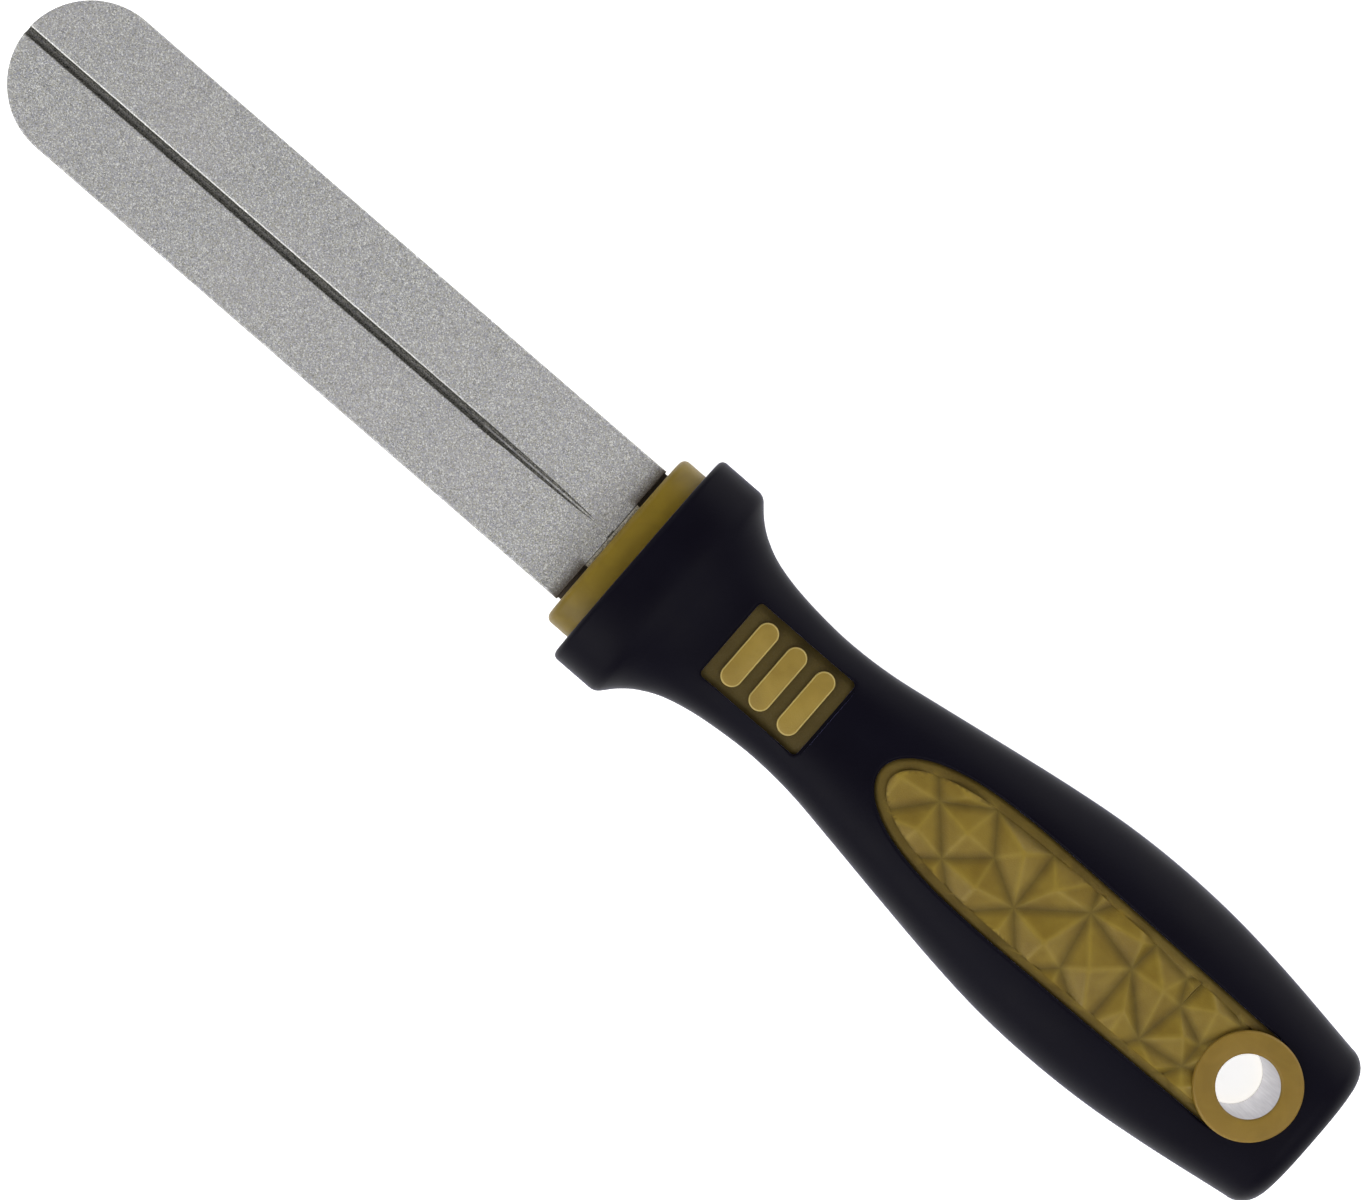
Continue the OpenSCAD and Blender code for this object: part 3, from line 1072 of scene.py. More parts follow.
@dataclass(frozen=True)
class DrawnAluminium(Finish):
    """Aluminium tube, drawn and burnished inside: bright, with faint lines along the bore.

    Attributes:
        metal: The burnished metal.
        scuffed: The metal in the draw lines.
        line_mm: Width and length of a draw line.
    """

    metal: str = "#E4E3E8"
    scuffed: str = "#C3C2C9"
    line_mm: tuple[float, float] = (0.25, 9.0)

    def shade(self, tree: Tree, places: Socket) -> Node:
        """Draw lines along the axis and small scuffs."""
        narrow, long = (1 / (size * MM) for size in self.line_mm)
        lines = add(tree, "ShaderNodeMapping", {0: places, "Scale": (narrow, narrow, long)})
        draw = add(tree, "ShaderNodeTexNoise", {"Vector": lines.outputs[0], "Scale": 1.0, "Detail": 3.0})
        tone = add(
            tree, "ShaderNodeMix", {0: draw.outputs["Fac"], 6: linear(self.metal), 7: linear(self.scuffed)},
            data_type="RGBA",
        )
        rough = add(
            tree, "ShaderNodeMapRange", {"Value": draw.outputs["Fac"], "To Min": 0.3, "To Max": 0.5},
        )
        bump = add(
            tree, "ShaderNodeBump", {"Height": draw.outputs["Fac"], "Strength": 0.2, "Distance": 0.02 * MM},
        )
        return add(
            tree, "ShaderNodeBsdfPrincipled",
            {"Base Color": tone.outputs[2], "Metallic": 1.0, "Roughness": rough.outputs[0],
             "Normal": bump.outputs[0]},
        )


@dataclass(frozen=True)
class CuredEpoxy(Finish):
    """Cured epoxy with metal dust in it: pale, glossy in places, a little see-through.

    Attributes:
        resin: The epoxy.
        dust: The metal dust in it.
        speck_mm: Width of a speck.
    """

    resin: str = "#A19B8C"
    dust: str = "#5F584A"
    speck_mm: float = 0.26

    def shade(self, tree: Tree, places: Socket) -> Node:
        """Specks of dust in a pale resin."""
        specks = add(
            tree, "ShaderNodeTexNoise",
            {"Vector": places, "Scale": 1 / (self.speck_mm * MM), "Detail": 3.0, "Roughness": 0.7},
        )
        share = add(
            tree, "ShaderNodeMapRange",
            {"Value": specks.outputs["Fac"], "From Min": 0.4, "From Max": 0.62, "To Min": 0.0, "To Max": 1.0},
        )
        colour = add(
            tree, "ShaderNodeMix", {0: share.outputs[0], 6: linear(self.resin), 7: linear(self.dust)},
            data_type="RGBA",
        )
        rough = add(
            tree, "ShaderNodeMapRange", {"Value": specks.outputs["Fac"], "To Min": 0.15, "To Max": 0.5},
        )
        bump = add(
            tree, "ShaderNodeBump", {"Height": specks.outputs["Fac"], "Strength": 0.4, "Distance": 0.06 * MM},
        )
        return add(
            tree, "ShaderNodeBsdfPrincipled",
            {"Base Color": colour.outputs[2], "Roughness": rough.outputs[0], "Normal": bump.outputs[0],
             "IOR": 1.55, "Subsurface Weight": 0.15, "Subsurface Radius": (1.0, 0.8, 0.5),
             "Subsurface Scale": 0.5 * MM},
        )


@dataclass(frozen=True)
class PaleFloor(Finish):
    """Opal board lit from below, so that nothing throws a shadow on it.

    Attributes:
        white: The board.
        cloudy: Its duller patches.
        tooth_mm: Width of a patch.
        glow: How bright it is lit.
    """

    white: str = "#F6F6F5"
    cloudy: str = "#F3F3F2"
    tooth_mm: float = 2.0
    glow: float = 0.85

    def shade(self, tree: Tree, places: Socket) -> Node:
        """Barely uneven tone and tooth."""
        tooth = add(
            tree, "ShaderNodeTexNoise", {"Vector": places, "Scale": 1 / (self.tooth_mm * MM), "Detail": 2.0},
        )
        tone = add(
            tree, "ShaderNodeMix", {0: tooth.outputs["Fac"], 6: linear(self.white), 7: linear(self.cloudy)},
            data_type="RGBA",
        )
        bump = add(
            tree, "ShaderNodeBump", {"Height": tooth.outputs["Fac"], "Strength": 0.05, "Distance": 0.02 * MM},
        )
        return add(
            tree, "ShaderNodeBsdfPrincipled",
            {"Base Color": tone.outputs[2], "Roughness": 0.9, "Specular IOR Level": 0.1,
             "Normal": bump.outputs[0], "Emission Color": linear(self.white), "Emission Strength": self.glow},
        )


# ---------------------------------------------------------------- the plate and its tang


def round_ended(name: str, low: Vector, high: Vector, nose: float) -> Piece:
    """Adds a bar whose one end is a full half circle seen from above.

    Args:
        name: The new object's name.
        low: The bar's lowest corner.
        high: The bar's highest corner.
        nose: Place along the tool of the round end, one of the bar's two ends.

    Returns:
        The solid bar.
    """
    deselect()
    bpy.ops.mesh.primitive_cube_add(size=1, location=(low + high) / 2, scale=high - low)
    bar = bpy.context.active_object
    bar.name = name
    bpy.ops.object.transform_apply(location=True, rotation=True, scale=True)
    with editing(bar, "EDGE"):
        pick_edges(bar, lambda a, b: abs(a.z - b.z) > TINY and abs(a.x - nose) < TINY)
        # A hair under half the width, so that the two bevels don't cross.
        bpy.ops.mesh.bevel(offset=(high.y - low.y) / 2 * 0.9999, segments=36, affect="EDGES")
        bpy.ops.mesh.select_all(action="SELECT")
        bpy.ops.mesh.remove_doubles(threshold=0.01 * MM)
    return bar


@dataclass
class Blade:
    """The abrasive plate: a steel strip in a coat of diamond grit, glued in by its tang.

    Attributes:
        layout: The shared places.
        edge_mm: Radius of the coat's rounded edges.
        groove_w_mm: Width of the hook groove.
        groove_d_mm: Its depth.
        groove_stop_mm: Plain stretch between the groove's end and the shoulders.
        groove_runout_mm: Length over which the groove climbs out.
        groove_step_mm: How much slimmer the climbing cutter is.
        groove_rim_mm: Width of the chamfers along its rims.
        groove_rim_slope: Their fall for each unit of width.
        run_share: Length of the climbing cutter, as a share of the runout.
        past_mm: How far the cutters run past the bend and the tip.
        filler_t_share: The dark filler's share of the strip's thickness.
        filler_round_mm: Width of the bevel along its edges.
        gap_reach_mm: How far the gap for the tang runs past both its ends.
        bead_mm: How far the squeezed-out epoxy stands proud.
        bead_sink_mm: How far it may sink below the glue's face.
        bead_level: The bead's mean height, as a share.
        bead_swing: How much of the waves it follows.
        bead_waves: Its waves across the tang: height, radians for each mm, and how much
            they differ between the two faces.
    """

    layout: Layout
    edge_mm: float = 0.3
    groove_w_mm: float = 1.3
    groove_d_mm: float = 0.8
    groove_stop_mm: float = 2.8
    groove_runout_mm: float = 20.0
    groove_step_mm: float = 0.06
    groove_rim_mm: float = 0.18
    groove_rim_slope: float = 0.7
    run_share: float = 1.3
    past_mm: tuple[float, float] = (0.6, 2.0)
    filler_t_share: float = 0.94
    filler_round_mm: float = 0.2
    gap_reach_mm: float = 9.0
    bead_mm: float = 0.3
    bead_sink_mm: float = 0.2
    bead_level: float = 0.45
    bead_swing: float = 0.3
    bead_waves: tuple[Triple, ...] = ((1.0, 1.9, 1.3), (0.7, 4.3, 2.1), (0.4, 9.7, 0.0))

    def build(self) -> Iterator[Piece]:
        """Builds the coat and the bead, and dresses the steel.

        Yields:
            Each piece.
        """
        yield self.coat()
        yield self.gap_shade_filler()
        yield self.epoxy()
        GroundSteel("plate_steel").dress_node("steel_plate")

    def coat(self) -> Piece:
        """Models the grit coat as a skin over the steel strip."""
        low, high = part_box("diamond_coating")
        coat = round_ended("grit_coat", low, high, high.x)
        with editing(coat, "EDGE"):
            pick_edges(coat, lambda a, b: abs(a.z - b.z) < TINY and (a - b).length > TINY)
            bpy.ops.mesh.bevel(offset=self.edge_mm * MM, segments=4, affect="EDGES")
        for cutter in self.cutters(high.z):
            carve(coat, cutter, Cut.AWAY)
        carve(coat, twin(bpy.data.objects["steel_plate"], "steel_form"), Cut.AWAY)
        settle(coat, 40)
        modify(coat, "WEIGHTED_NORMAL", keep_sharp=True, weight=100)
        DiamondGrit("diamond_grit", shoulder_x=low.x, face_z=high.z).dress(coat)
        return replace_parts(coat, "diamond_coating")

    def gap_shade_filler(self) -> Piece:
        """Models a dark steel filler that closes the gap to the collar on both sides of the tang, as painted
        shade for that gap.
        """
        low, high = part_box("steel_plate")
        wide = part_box("diamond_coating")[1].y - self.edge_mm * MM
        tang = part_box("tang_adhesive")[1].y
        deselect()
        bpy.ops.mesh.primitive_cube_add(size=1)
        end = bpy.context.active_object
        end.name = "bare_shoulders"
        rear, front = self.layout.collar_x, self.layout.shoulder_x
        end.scale = (front - rear, wide * 2, (high.z - low.z) * self.filler_t_share)
        end.location = ((front + rear) / 2, 0, self.layout.mid_z)
        bpy.ops.object.transform_apply(location=True, rotation=True, scale=True)
        with editing(end, "EDGE"):
            pick_edges(end, lambda a, b: abs(a.x - b.x) > TINY)
            bpy.ops.mesh.bevel(offset=self.filler_round_mm * MM, segments=2, affect="EDGES")
        reach = self.gap_reach_mm * MM
        corners = Vector((rear - reach, -tang, 0)), Vector((front + reach, tang, self.layout.top_z))
        carve(end, round_ended("tang_gap", *corners, rear - reach), Cut.AWAY)
        settle(end)
        # Its dark steel is painted shade for the gap.
        GroundSteel("plate_steel", "gap_shade", steel="#4A423A", dark="#241F1A").dress(end)
        return end

    def cutters(self, face_z: float) -> Iterator[Piece]:
        """Makes the round bars that the hook groove is cut with.

        Args:
            face_z: Height of the plate's front face.

        Yields:
            The cutters that chamfer its rims, then those that hollow it, level and climbing.
        """
        radius = self.groove_w_mm / 2 * MM
        axis_z = face_z - self.groove_d_mm * MM + radius
        bend = self.layout.shoulder_x + (self.groove_stop_mm + self.groove_runout_mm) * MM
        tilt = math.atan((self.groove_d_mm - self.groove_step_mm) / self.groove_runout_mm)
        overlap, beyond = (past * MM for past in self.past_mm)
        run = self.groove_runout_mm * self.run_share * MM
        rim = radius + self.groove_rim_mm * MM

        def climb(_: int, co: Vector) -> Vector:
            """Lifts a point by the runout's slope."""
            return Vector((co.x, co.y, co.z + (bend - co.x) * math.tan(tilt)))

        for name, sides, r, climbs in (
            ("rim_cutter", 4, rim, False),
            ("rim_climber", 4, rim, True),
            ("level_cutter", 64, radius, False),
            ("climbing_cutter", 64, radius - self.groove_step_mm * MM, True),
        ):
            low, high = (bend - run, bend + overlap) if climbs else (bend, self.layout.tip_x + beyond)
            deselect()
            bpy.ops.mesh.primitive_cylinder_add(
                vertices=sides, radius=r, depth=high - low, location=((low + high) / 2, 0, 0),
                rotation=(0, math.pi / 2, 0),
            )
            cutter = bpy.context.active_object
            cutter.name = name
            bpy.ops.object.transform_apply(location=True, rotation=True, scale=True)
            with editing(cutter):
                bpy.ops.mesh.select_all(action="SELECT")
                if sides == 4:
                    flatter = (1, 1, self.groove_rim_slope)
                    bpy.ops.transform.resize(value=flatter, center_override=(0, 0, 0))
                bpy.ops.transform.translate(value=(0, 0, face_z if sides == 4 else axis_z))
                if climbs:
                    shape_points(cutter, climb)
            yield cutter

    def epoxy(self) -> Piece:
        """Models the glue round the tang with an uneven bead at the collar's mouth."""
        low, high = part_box("tang_adhesive")
        mouth = self.layout.collar_x
        out = self.bead_mm * MM
        deselect()
        bpy.ops.mesh.primitive_cube_add(size=1)
        bead = bpy.context.active_object
        bead.name = "epoxy_joint"
        bead.scale = (high.x - mouth, high.y - low.y, high.z - low.z)
        bead.location = ((high.x + mouth) / 2, 0, self.layout.mid_z)
        bpy.ops.object.transform_apply(location=True, rotation=True, scale=True)
        with editing(bead):
            bpy.ops.mesh.select_all(action="SELECT")
            bpy.ops.mesh.subdivide(number_cuts=23)

            def slump(_: int, co: Vector) -> Vector:
                """Moves a point of the bead out as far as the epoxy bulges there."""
                side = math.copysign(1, co.z - self.layout.mid_z)
                wave = sum(
                    size * math.sin(co.y / MM * pace + shift * side) for size, pace, shift in self.bead_waves
                )
                u = (co.x - mouth) / (high.x - mouth) * 2 - 1
                belly = 1 - u * u
                near = abs(co.z - self.layout.mid_z) / ((high.z - low.z) / 2)
                lift = out * (self.bead_level + self.bead_swing * wave) * belly * near**3
                return Vector((co.x, co.y, co.z + side * max(lift, -self.bead_sink_mm * MM)))

            shape_points(bead, slump)
        carve(bead, twin(bpy.data.objects["tang_adhesive"], "glue_form"), Cut.TOGETHER)
        settle(bead, 50)
        CuredEpoxy("epoxy").dress(bead)
        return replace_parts(bead, "tang_adhesive")


# ---------------------------------------------------------------- the handle


@dataclass
class Handle:
    """The moulded handle: an olive core and collar inside a black rubber sleeve.

    Attributes:
        grip: The grip's outer form.
        windows: The outlines of its windows.
        guard_w_mm: Width of the guard band.
        guard_band_mm: Its length.
        guard_round_mm: Radius of its edges.
        guard_flat_mm: Where its front face starts to ease down.
        guard_soft_mm: Where that face has reached the neck's line.
        butt_round_mm: Radius of the butt's edge.
        butt_dome_mm: Rise of the butt's middle.
        length_mm: The grip's length.
        collar_w_mm: Width of the collar.
        collar_t_mm: Its thickness.
        collar_power: How square it is.
        collar_round_mm: Radius of its front rim.
        core_w_share: The core's share of the grip's width.
        core_t_share: Its share of the thickness.
        core_end_mm: Its end, behind the guard face.
        glue_gap_mm: Room for glue on each side of the tang.
        lip_mm: Radius of the rubber lip round each window.
        window_mm: Depth of the windows.
        window_foot_mm: How much deeper their tools reach.
        brim_mm: How far their tools spread above the surface, and where above it.
        nudge_mm: Step over which the neck's slope is measured.
        ring_gap_mm: Least gap before the last station.
        ring_steps: Gap between rings, for each stretch behind the guard face that ends
            before the first number.
        points: Points round each section.
    """

    grip: GripShape
    windows: Windows
    guard_w_mm: float = 35.2
    guard_band_mm: float = 8.1
    guard_round_mm: float = 0.9
    guard_flat_mm: float = 4.4
    guard_soft_mm: float = 9.8
    butt_round_mm: float = 3.7
    butt_dome_mm: float = 0.4
    length_mm: float = 120.6
    collar_w_mm: float = 28.7
    collar_t_mm: float = 17.0
    collar_power: float = 3.4
    collar_round_mm: float = 1.0
    core_w_share: float = 0.74
    core_t_share: float = 0.66
    core_end_mm: float = 114.0
    glue_gap_mm: float = 0.35
    lip_mm: float = 0.45
    window_mm: float = 2.2
    window_foot_mm: float = 2.0
    brim_mm: tuple[float, float] = (0.02, 0.03)
    nudge_mm: float = 0.1
    ring_gap_mm: float = 0.3
    ring_steps: tuple[tuple[float, float], ...] = ((12.0, 0.35), (20.0, 0.7), (math.inf, 1.2))
    points: int = 144

    def build(self) -> Iterator[Piece]:
        """Builds the core and the sleeve.

        Yields:
            Each piece.
        """
        core = self.core_form("olive_core")
        sleeve = self.sleeve(twin(core, "core_form"))
        yield self.core(core)
        yield sleeve

    def rings(self) -> list[Ring]:
        """Rings of the whole grip: distance behind the guard face, half width and half thickness, in mm."""
        grip, s = self.grip, self.guard_band_mm
        wide, thick = self.guard_w_mm / 2, grip.grip_t_mm / 2
        rings = self.eased_rim(0.0, self.guard_round_mm, wide, thick)
        # The band's rear corner is an arc that leaves it level and meets the neck at its slope.
        lean = math.atan((grip.half_w(s) - grip.half_w(s + self.nudge_mm)) / self.nudge_mm)
        heel = (wide - grip.half_w(s)) / (1 - math.cos(lean))
        rings += [
            (s, wide, thick)
            for s in (self.guard_band_mm * k / 8 for k in range(4, 7))
            if s < self.guard_band_mm - heel * math.sin(lean)
        ]
        for turn in (lean * k / 8 for k in range(8)):
            back = heel * (math.sin(lean) - math.sin(turn))
            rings.append((s - back, wide - heel * (1 - math.cos(turn)), thick))
        rings = [(s, w, min(t, self.rear_slope(s))) for s, w, t in rings]
        last = grip.stations[-1][0]
        while s < last - self.ring_gap_mm:
            rings.append((s, grip.half_w(s), self.rear_slope(s)))
            s += next(step for before, step in self.ring_steps if s < before)
        rings.append((last, grip.half_w(last), grip.half_t(last)))
        far = rings[-1]
        for k in range(1, 11):
            v = math.pi / 2 * k / 10
            cut = self.butt_round_mm * (1 - math.cos(v))
            reach = self.length_mm - self.butt_dome_mm - far[0]
            rings.append((far[0] + reach * math.sin(v), far[1] - cut, far[2] - cut))
        edge = rings[-1]
        for share in (0.75, 0.5, 0.25):
            rings.append((self.length_mm - self.butt_dome_mm * share**2, edge[1] * share, edge[2] * share))
        return rings

    def eased_rim(self, front: float, r: float, wide: float, thick: float) -> list[Ring]:
        """Rings of a front edge rounded in a quarter circle, all in mm.

        Args:
            front: Place of the front face, behind the guard face.
            r: Radius of the edge.
            wide: Half width behind it.
            thick: Half thickness behind it.

        Returns:
            The rings, from the front.
        """
        turns = (math.pi / 2 * k / 6 for k in range(7))
        return [
            (front + r * (1 - math.cos(v)), wide - r * (1 - math.sin(v)), thick - r * (1 - math.sin(v)))
            for v in turns
        ]

    def rear_slope(self, s: float) -> float:
        """Half thickness at s in mm, eased from the guard down into the neck."""
        grip, start, end = self.grip, self.guard_flat_mm, self.guard_soft_mm
        if s >= end:
            return grip.half_t(s)
        u = max(0.0, (s - start) / (end - start))
        low, full = grip.half_t(end), grip.grip_t_mm / 2
        slope = (grip.half_t(end + self.nudge_mm) - grip.half_t(end)) / self.nudge_mm
        fall = slope * (end - start)
        return full * (1 + 2 * u) * (1 - u) ** 2 + low * u * u * (3 - 2 * u) + fall * u * u * (u - 1)

    def core_form(self, name: str) -> Piece:
        """Models the collar and the body inside the sleeve as one solid.

        Args:
            name: The new object's name.

        Returns:
            The solid, without its slot and bore.
        """
        grip, layout = self.grip, self.grip.layout
        wide, thick = self.collar_w_mm / 2, self.collar_t_mm / 2
        front = (layout.guard_x - layout.collar_x) / MM
        rings = self.eased_rim(front, self.collar_round_mm, wide, thick)
        rings.append((self.guard_band_mm, wide, thick))
        core = grip.loft(name, rings, self.points, self.collar_power)
        run = self.core_end_mm - self.guard_band_mm + 1
        places = [self.guard_band_mm - 1 + run * k / 48 for k in range(49)]
        body = grip.loft(
            "core_body",
            [(s, self.core_w_share * grip.half_w(s), self.core_t_share * grip.half_t(s)) for s in places],
            4,
        )
        carve(core, body, Cut.TOGETHER)
        return core

    def core(self, core: Piece) -> Piece:
        """Cuts the tang's slot and the bore through the core, and dresses it.

        Args:
            core: The core's solid.

        Returns:
            The finished core.
        """
        low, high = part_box("tang_adhesive")
        strip_low, strip_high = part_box("steel_plate")
        thick = (strip_high.z - strip_low.z) / 2 + self.glue_gap_mm * MM
        mid = self.grip.layout.mid_z
        corners = Vector((low.x, low.y, mid - thick)), Vector((high.x + MM, high.y, mid + thick))
        carve(core, round_ended("tang_slot", *corners, low.x), Cut.AWAY)
        carve(core, self.bore("core_bore"), Cut.AWAY)
        settle(core, 34)
        OlivePlastic("olive_plastic").dress(core)
        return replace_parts(core, "handle_core")

    def bore(self, name: str) -> Piece:
        """Makes the round bar that the bush's hole is cut with."""
        low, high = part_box("eyelet_bush")
        deselect()
        bpy.ops.mesh.primitive_cylinder_add(
            vertices=128, radius=(high.x - low.x) / 2, depth=40 * MM,
            location=(self.grip.layout.bore_x, 0, self.grip.layout.mid_z),
        )
        bar = bpy.context.active_object
        bar.name = name
        bpy.ops.object.transform_apply(location=True, rotation=True, scale=True)
        return bar

    def window(self, name: str, outline: Outline) -> Piece:
        """Makes the tool that cuts a window with a soft lip.

        Args:
            name: The new object's name.
            outline: The window's outline.

        Returns:
            The tool, flaring in a quarter circle where it meets the surface.
        """
        lip, crown = self.lip_mm * MM, self.grip.crown
        levels = [(outline, lambda x, y: crown(x, y) - self.window_mm * MM - self.window_foot_mm * MM)]
        for k in range(6):
            turn = math.pi / 2 * k / 5
            out, up = lip * (1 - math.cos(turn)), lip * (1 - math.sin(turn))
            levels.append((grown(outline, out), lambda x, y, up=up: crown(x, y) - up))
        brim = grown(levels[-1][0], self.brim_mm[0] * MM)
        levels.append((brim, lambda x, y: crown(x, y) + self.brim_mm[1] * MM))
        levels.append((brim, lambda x, y: self.grip.layout.top_z + 3 * MM))
        return stacked(name, levels)

    def sleeve(self, core: Piece) -> Piece:
        """Models the rubber sleeve with its windows and bore.

        Args:
            core: A solid copy of the core, used up here.

        Returns:
            The finished sleeve.
        """
        sleeve = self.grip.loft("grip_sleeve", self.rings(), self.points)
        outlines = {"badge_window": self.windows.badge(), "palm_window": self.windows.pad()}
        for name, outline in outlines.items():
            window = self.window(name, outline)
            rear = other_face(window, name + "_rear", self.grip.layout.mid_z)
            carve(sleeve, window, Cut.AWAY)
            carve(sleeve, rear, Cut.AWAY)
        carve(sleeve, core, Cut.AWAY)
        carve(sleeve, self.bore("sleeve_bore"), Cut.AWAY)
        settle(sleeve, 30)
        modify(sleeve, "WEIGHTED_NORMAL", keep_sharp=True, weight=100)
        SoftRubber("black_rubber", seam_z=self.grip.layout.mid_z).dress(sleeve)
        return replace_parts(sleeve, "grip_overmould")


@dataclass
class Badges:
    """Sunk olive panels near the guard, each with three plain raised bars.

    Attributes:
        handle: The handle they sit in.
        floor_mm: Depth of the panel below the grip's surface.
        proud_mm: Depth of the bars' tops below it.
        bars: How many bars there are.
        bar_l_mm: Length of a bar, across the handle.
        bar_w_mm: Its width.
        pitch_mm: Distance between bars.
        ease_mm: Radius of their top edges.
        splay_mm: How much wider a bar is at its foot.
        foot_mm: Height of its foot above the badge's own.
        painted_share: Share of a depth past which paint takes it for the floor or an eased edge.
    """

    handle: Handle
    floor_mm: float = 0.9
    proud_mm: float = 0.06
    bars: int = 3
    bar_l_mm: float = 10.4
    bar_w_mm: float = 3.1
    pitch_mm: float = 5.0
    ease_mm: float = 0.22
    splay_mm: float = 0.12
    foot_mm: float = 0.3
    painted_share: float = 0.8

    def build(self) -> Iterator[Piece]:
        """Builds the front badge and its rear twin.

        Yields:
            Each badge.
        """
        windows, grip = self.handle.windows, self.handle.grip
        outline = windows.badge()
        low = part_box("front_badge_inlay")[0].z
        ends = (windows.badge_at_mm - windows.badge_l_mm, windows.badge_at_mm + windows.badge_l_mm)
        badge = grip.loft(
            "front_badge",
            [
                (s, grip.half_w(s) - self.floor_mm, grip.half_t(s) - self.floor_mm)
                for s in (ends[0] + (ends[1] - ends[0]) * k / 32 for k in range(33))
            ],
            self.handle.points,
        )
        above = grip.layout.top_z + 10 * MM
        trim = stacked("badge_trim", [(outline, lambda x, y: low), (outline, lambda x, y: above)])
        carve(badge, trim, Cut.WITHIN)
        for k in range(self.bars):
            at = grip.x(windows.badge_at_mm) + (k - (self.bars - 1) / 2) * self.pitch_mm * MM
            carve(badge, self.bar(at, low), Cut.TOGETHER)
        settle(badge, 38)
        self.paint(badge)
        # The floor gets painted shade and the bars' eased edges a painted highlight.
        OliveRubber(
            "olive_rubber", "badge", olive="#8C7634", deep="#7A6428", fold="#2B230A", ridge="#D6C480",
        ).dress(badge)
        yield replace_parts(badge, "front_badge_inlay")
        rear = other_face(badge, "rear_badge", grip.layout.mid_z)
        settle(rear, 38)
        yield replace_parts(rear, "rear_badge_inlay")

    def paint(self, badge: Piece) -> None:
        """Paints shade on the sunk floor, darker than the bars, and a highlight on the bars' eased edges.

        Args:
            badge: The finished badge.
        """
        grip = self.handle.grip
        depths = [(grip.crown(p.co.x, p.co.y) - p.co.z) / MM for p in badge.data.vertices]
        floor, eased = self.floor_mm * self.painted_share, self.ease_mm * self.painted_share
        marks = {
            "ridge": [0.01 < depth - self.proud_mm < eased for depth in depths],
            "fold": [depth > floor for depth in depths],
        }
        for name, marked in marks.items():
            layer = badge.data.attributes.new(name, "FLOAT", "POINT")
            layer.data.foreach_set("value", [float(mark) for mark in marked])

    def bar(self, at: float, low: float) -> Piece:
        """Models one raised bar with eased edges.

        Args:
            at: Its place along the tool.
            low: Height of its foot.

        Returns:
            The bar.
        """
        grip, ease = self.handle.grip, self.ease_mm * MM
        half_w, half_l = self.bar_w_mm / 2, self.bar_l_mm / 2
        outline = rounded_box(at, half_w * MM, half_l * MM, (half_w - 0.02) * MM, 10)
        levels = [(grown(outline, self.splay_mm * MM), lambda x, y: low + self.foot_mm * MM)]
        for k in range(5):
            turn = math.pi / 2 * k / 4
            inset, down = ease * (1 - math.cos(turn)), ease * (1 - math.sin(turn)) + self.proud_mm * MM
            levels.append((grown(outline, -inset), lambda x, y, down=down: grip.crown(x, y) - down))
        return stacked("badge_bar", levels)


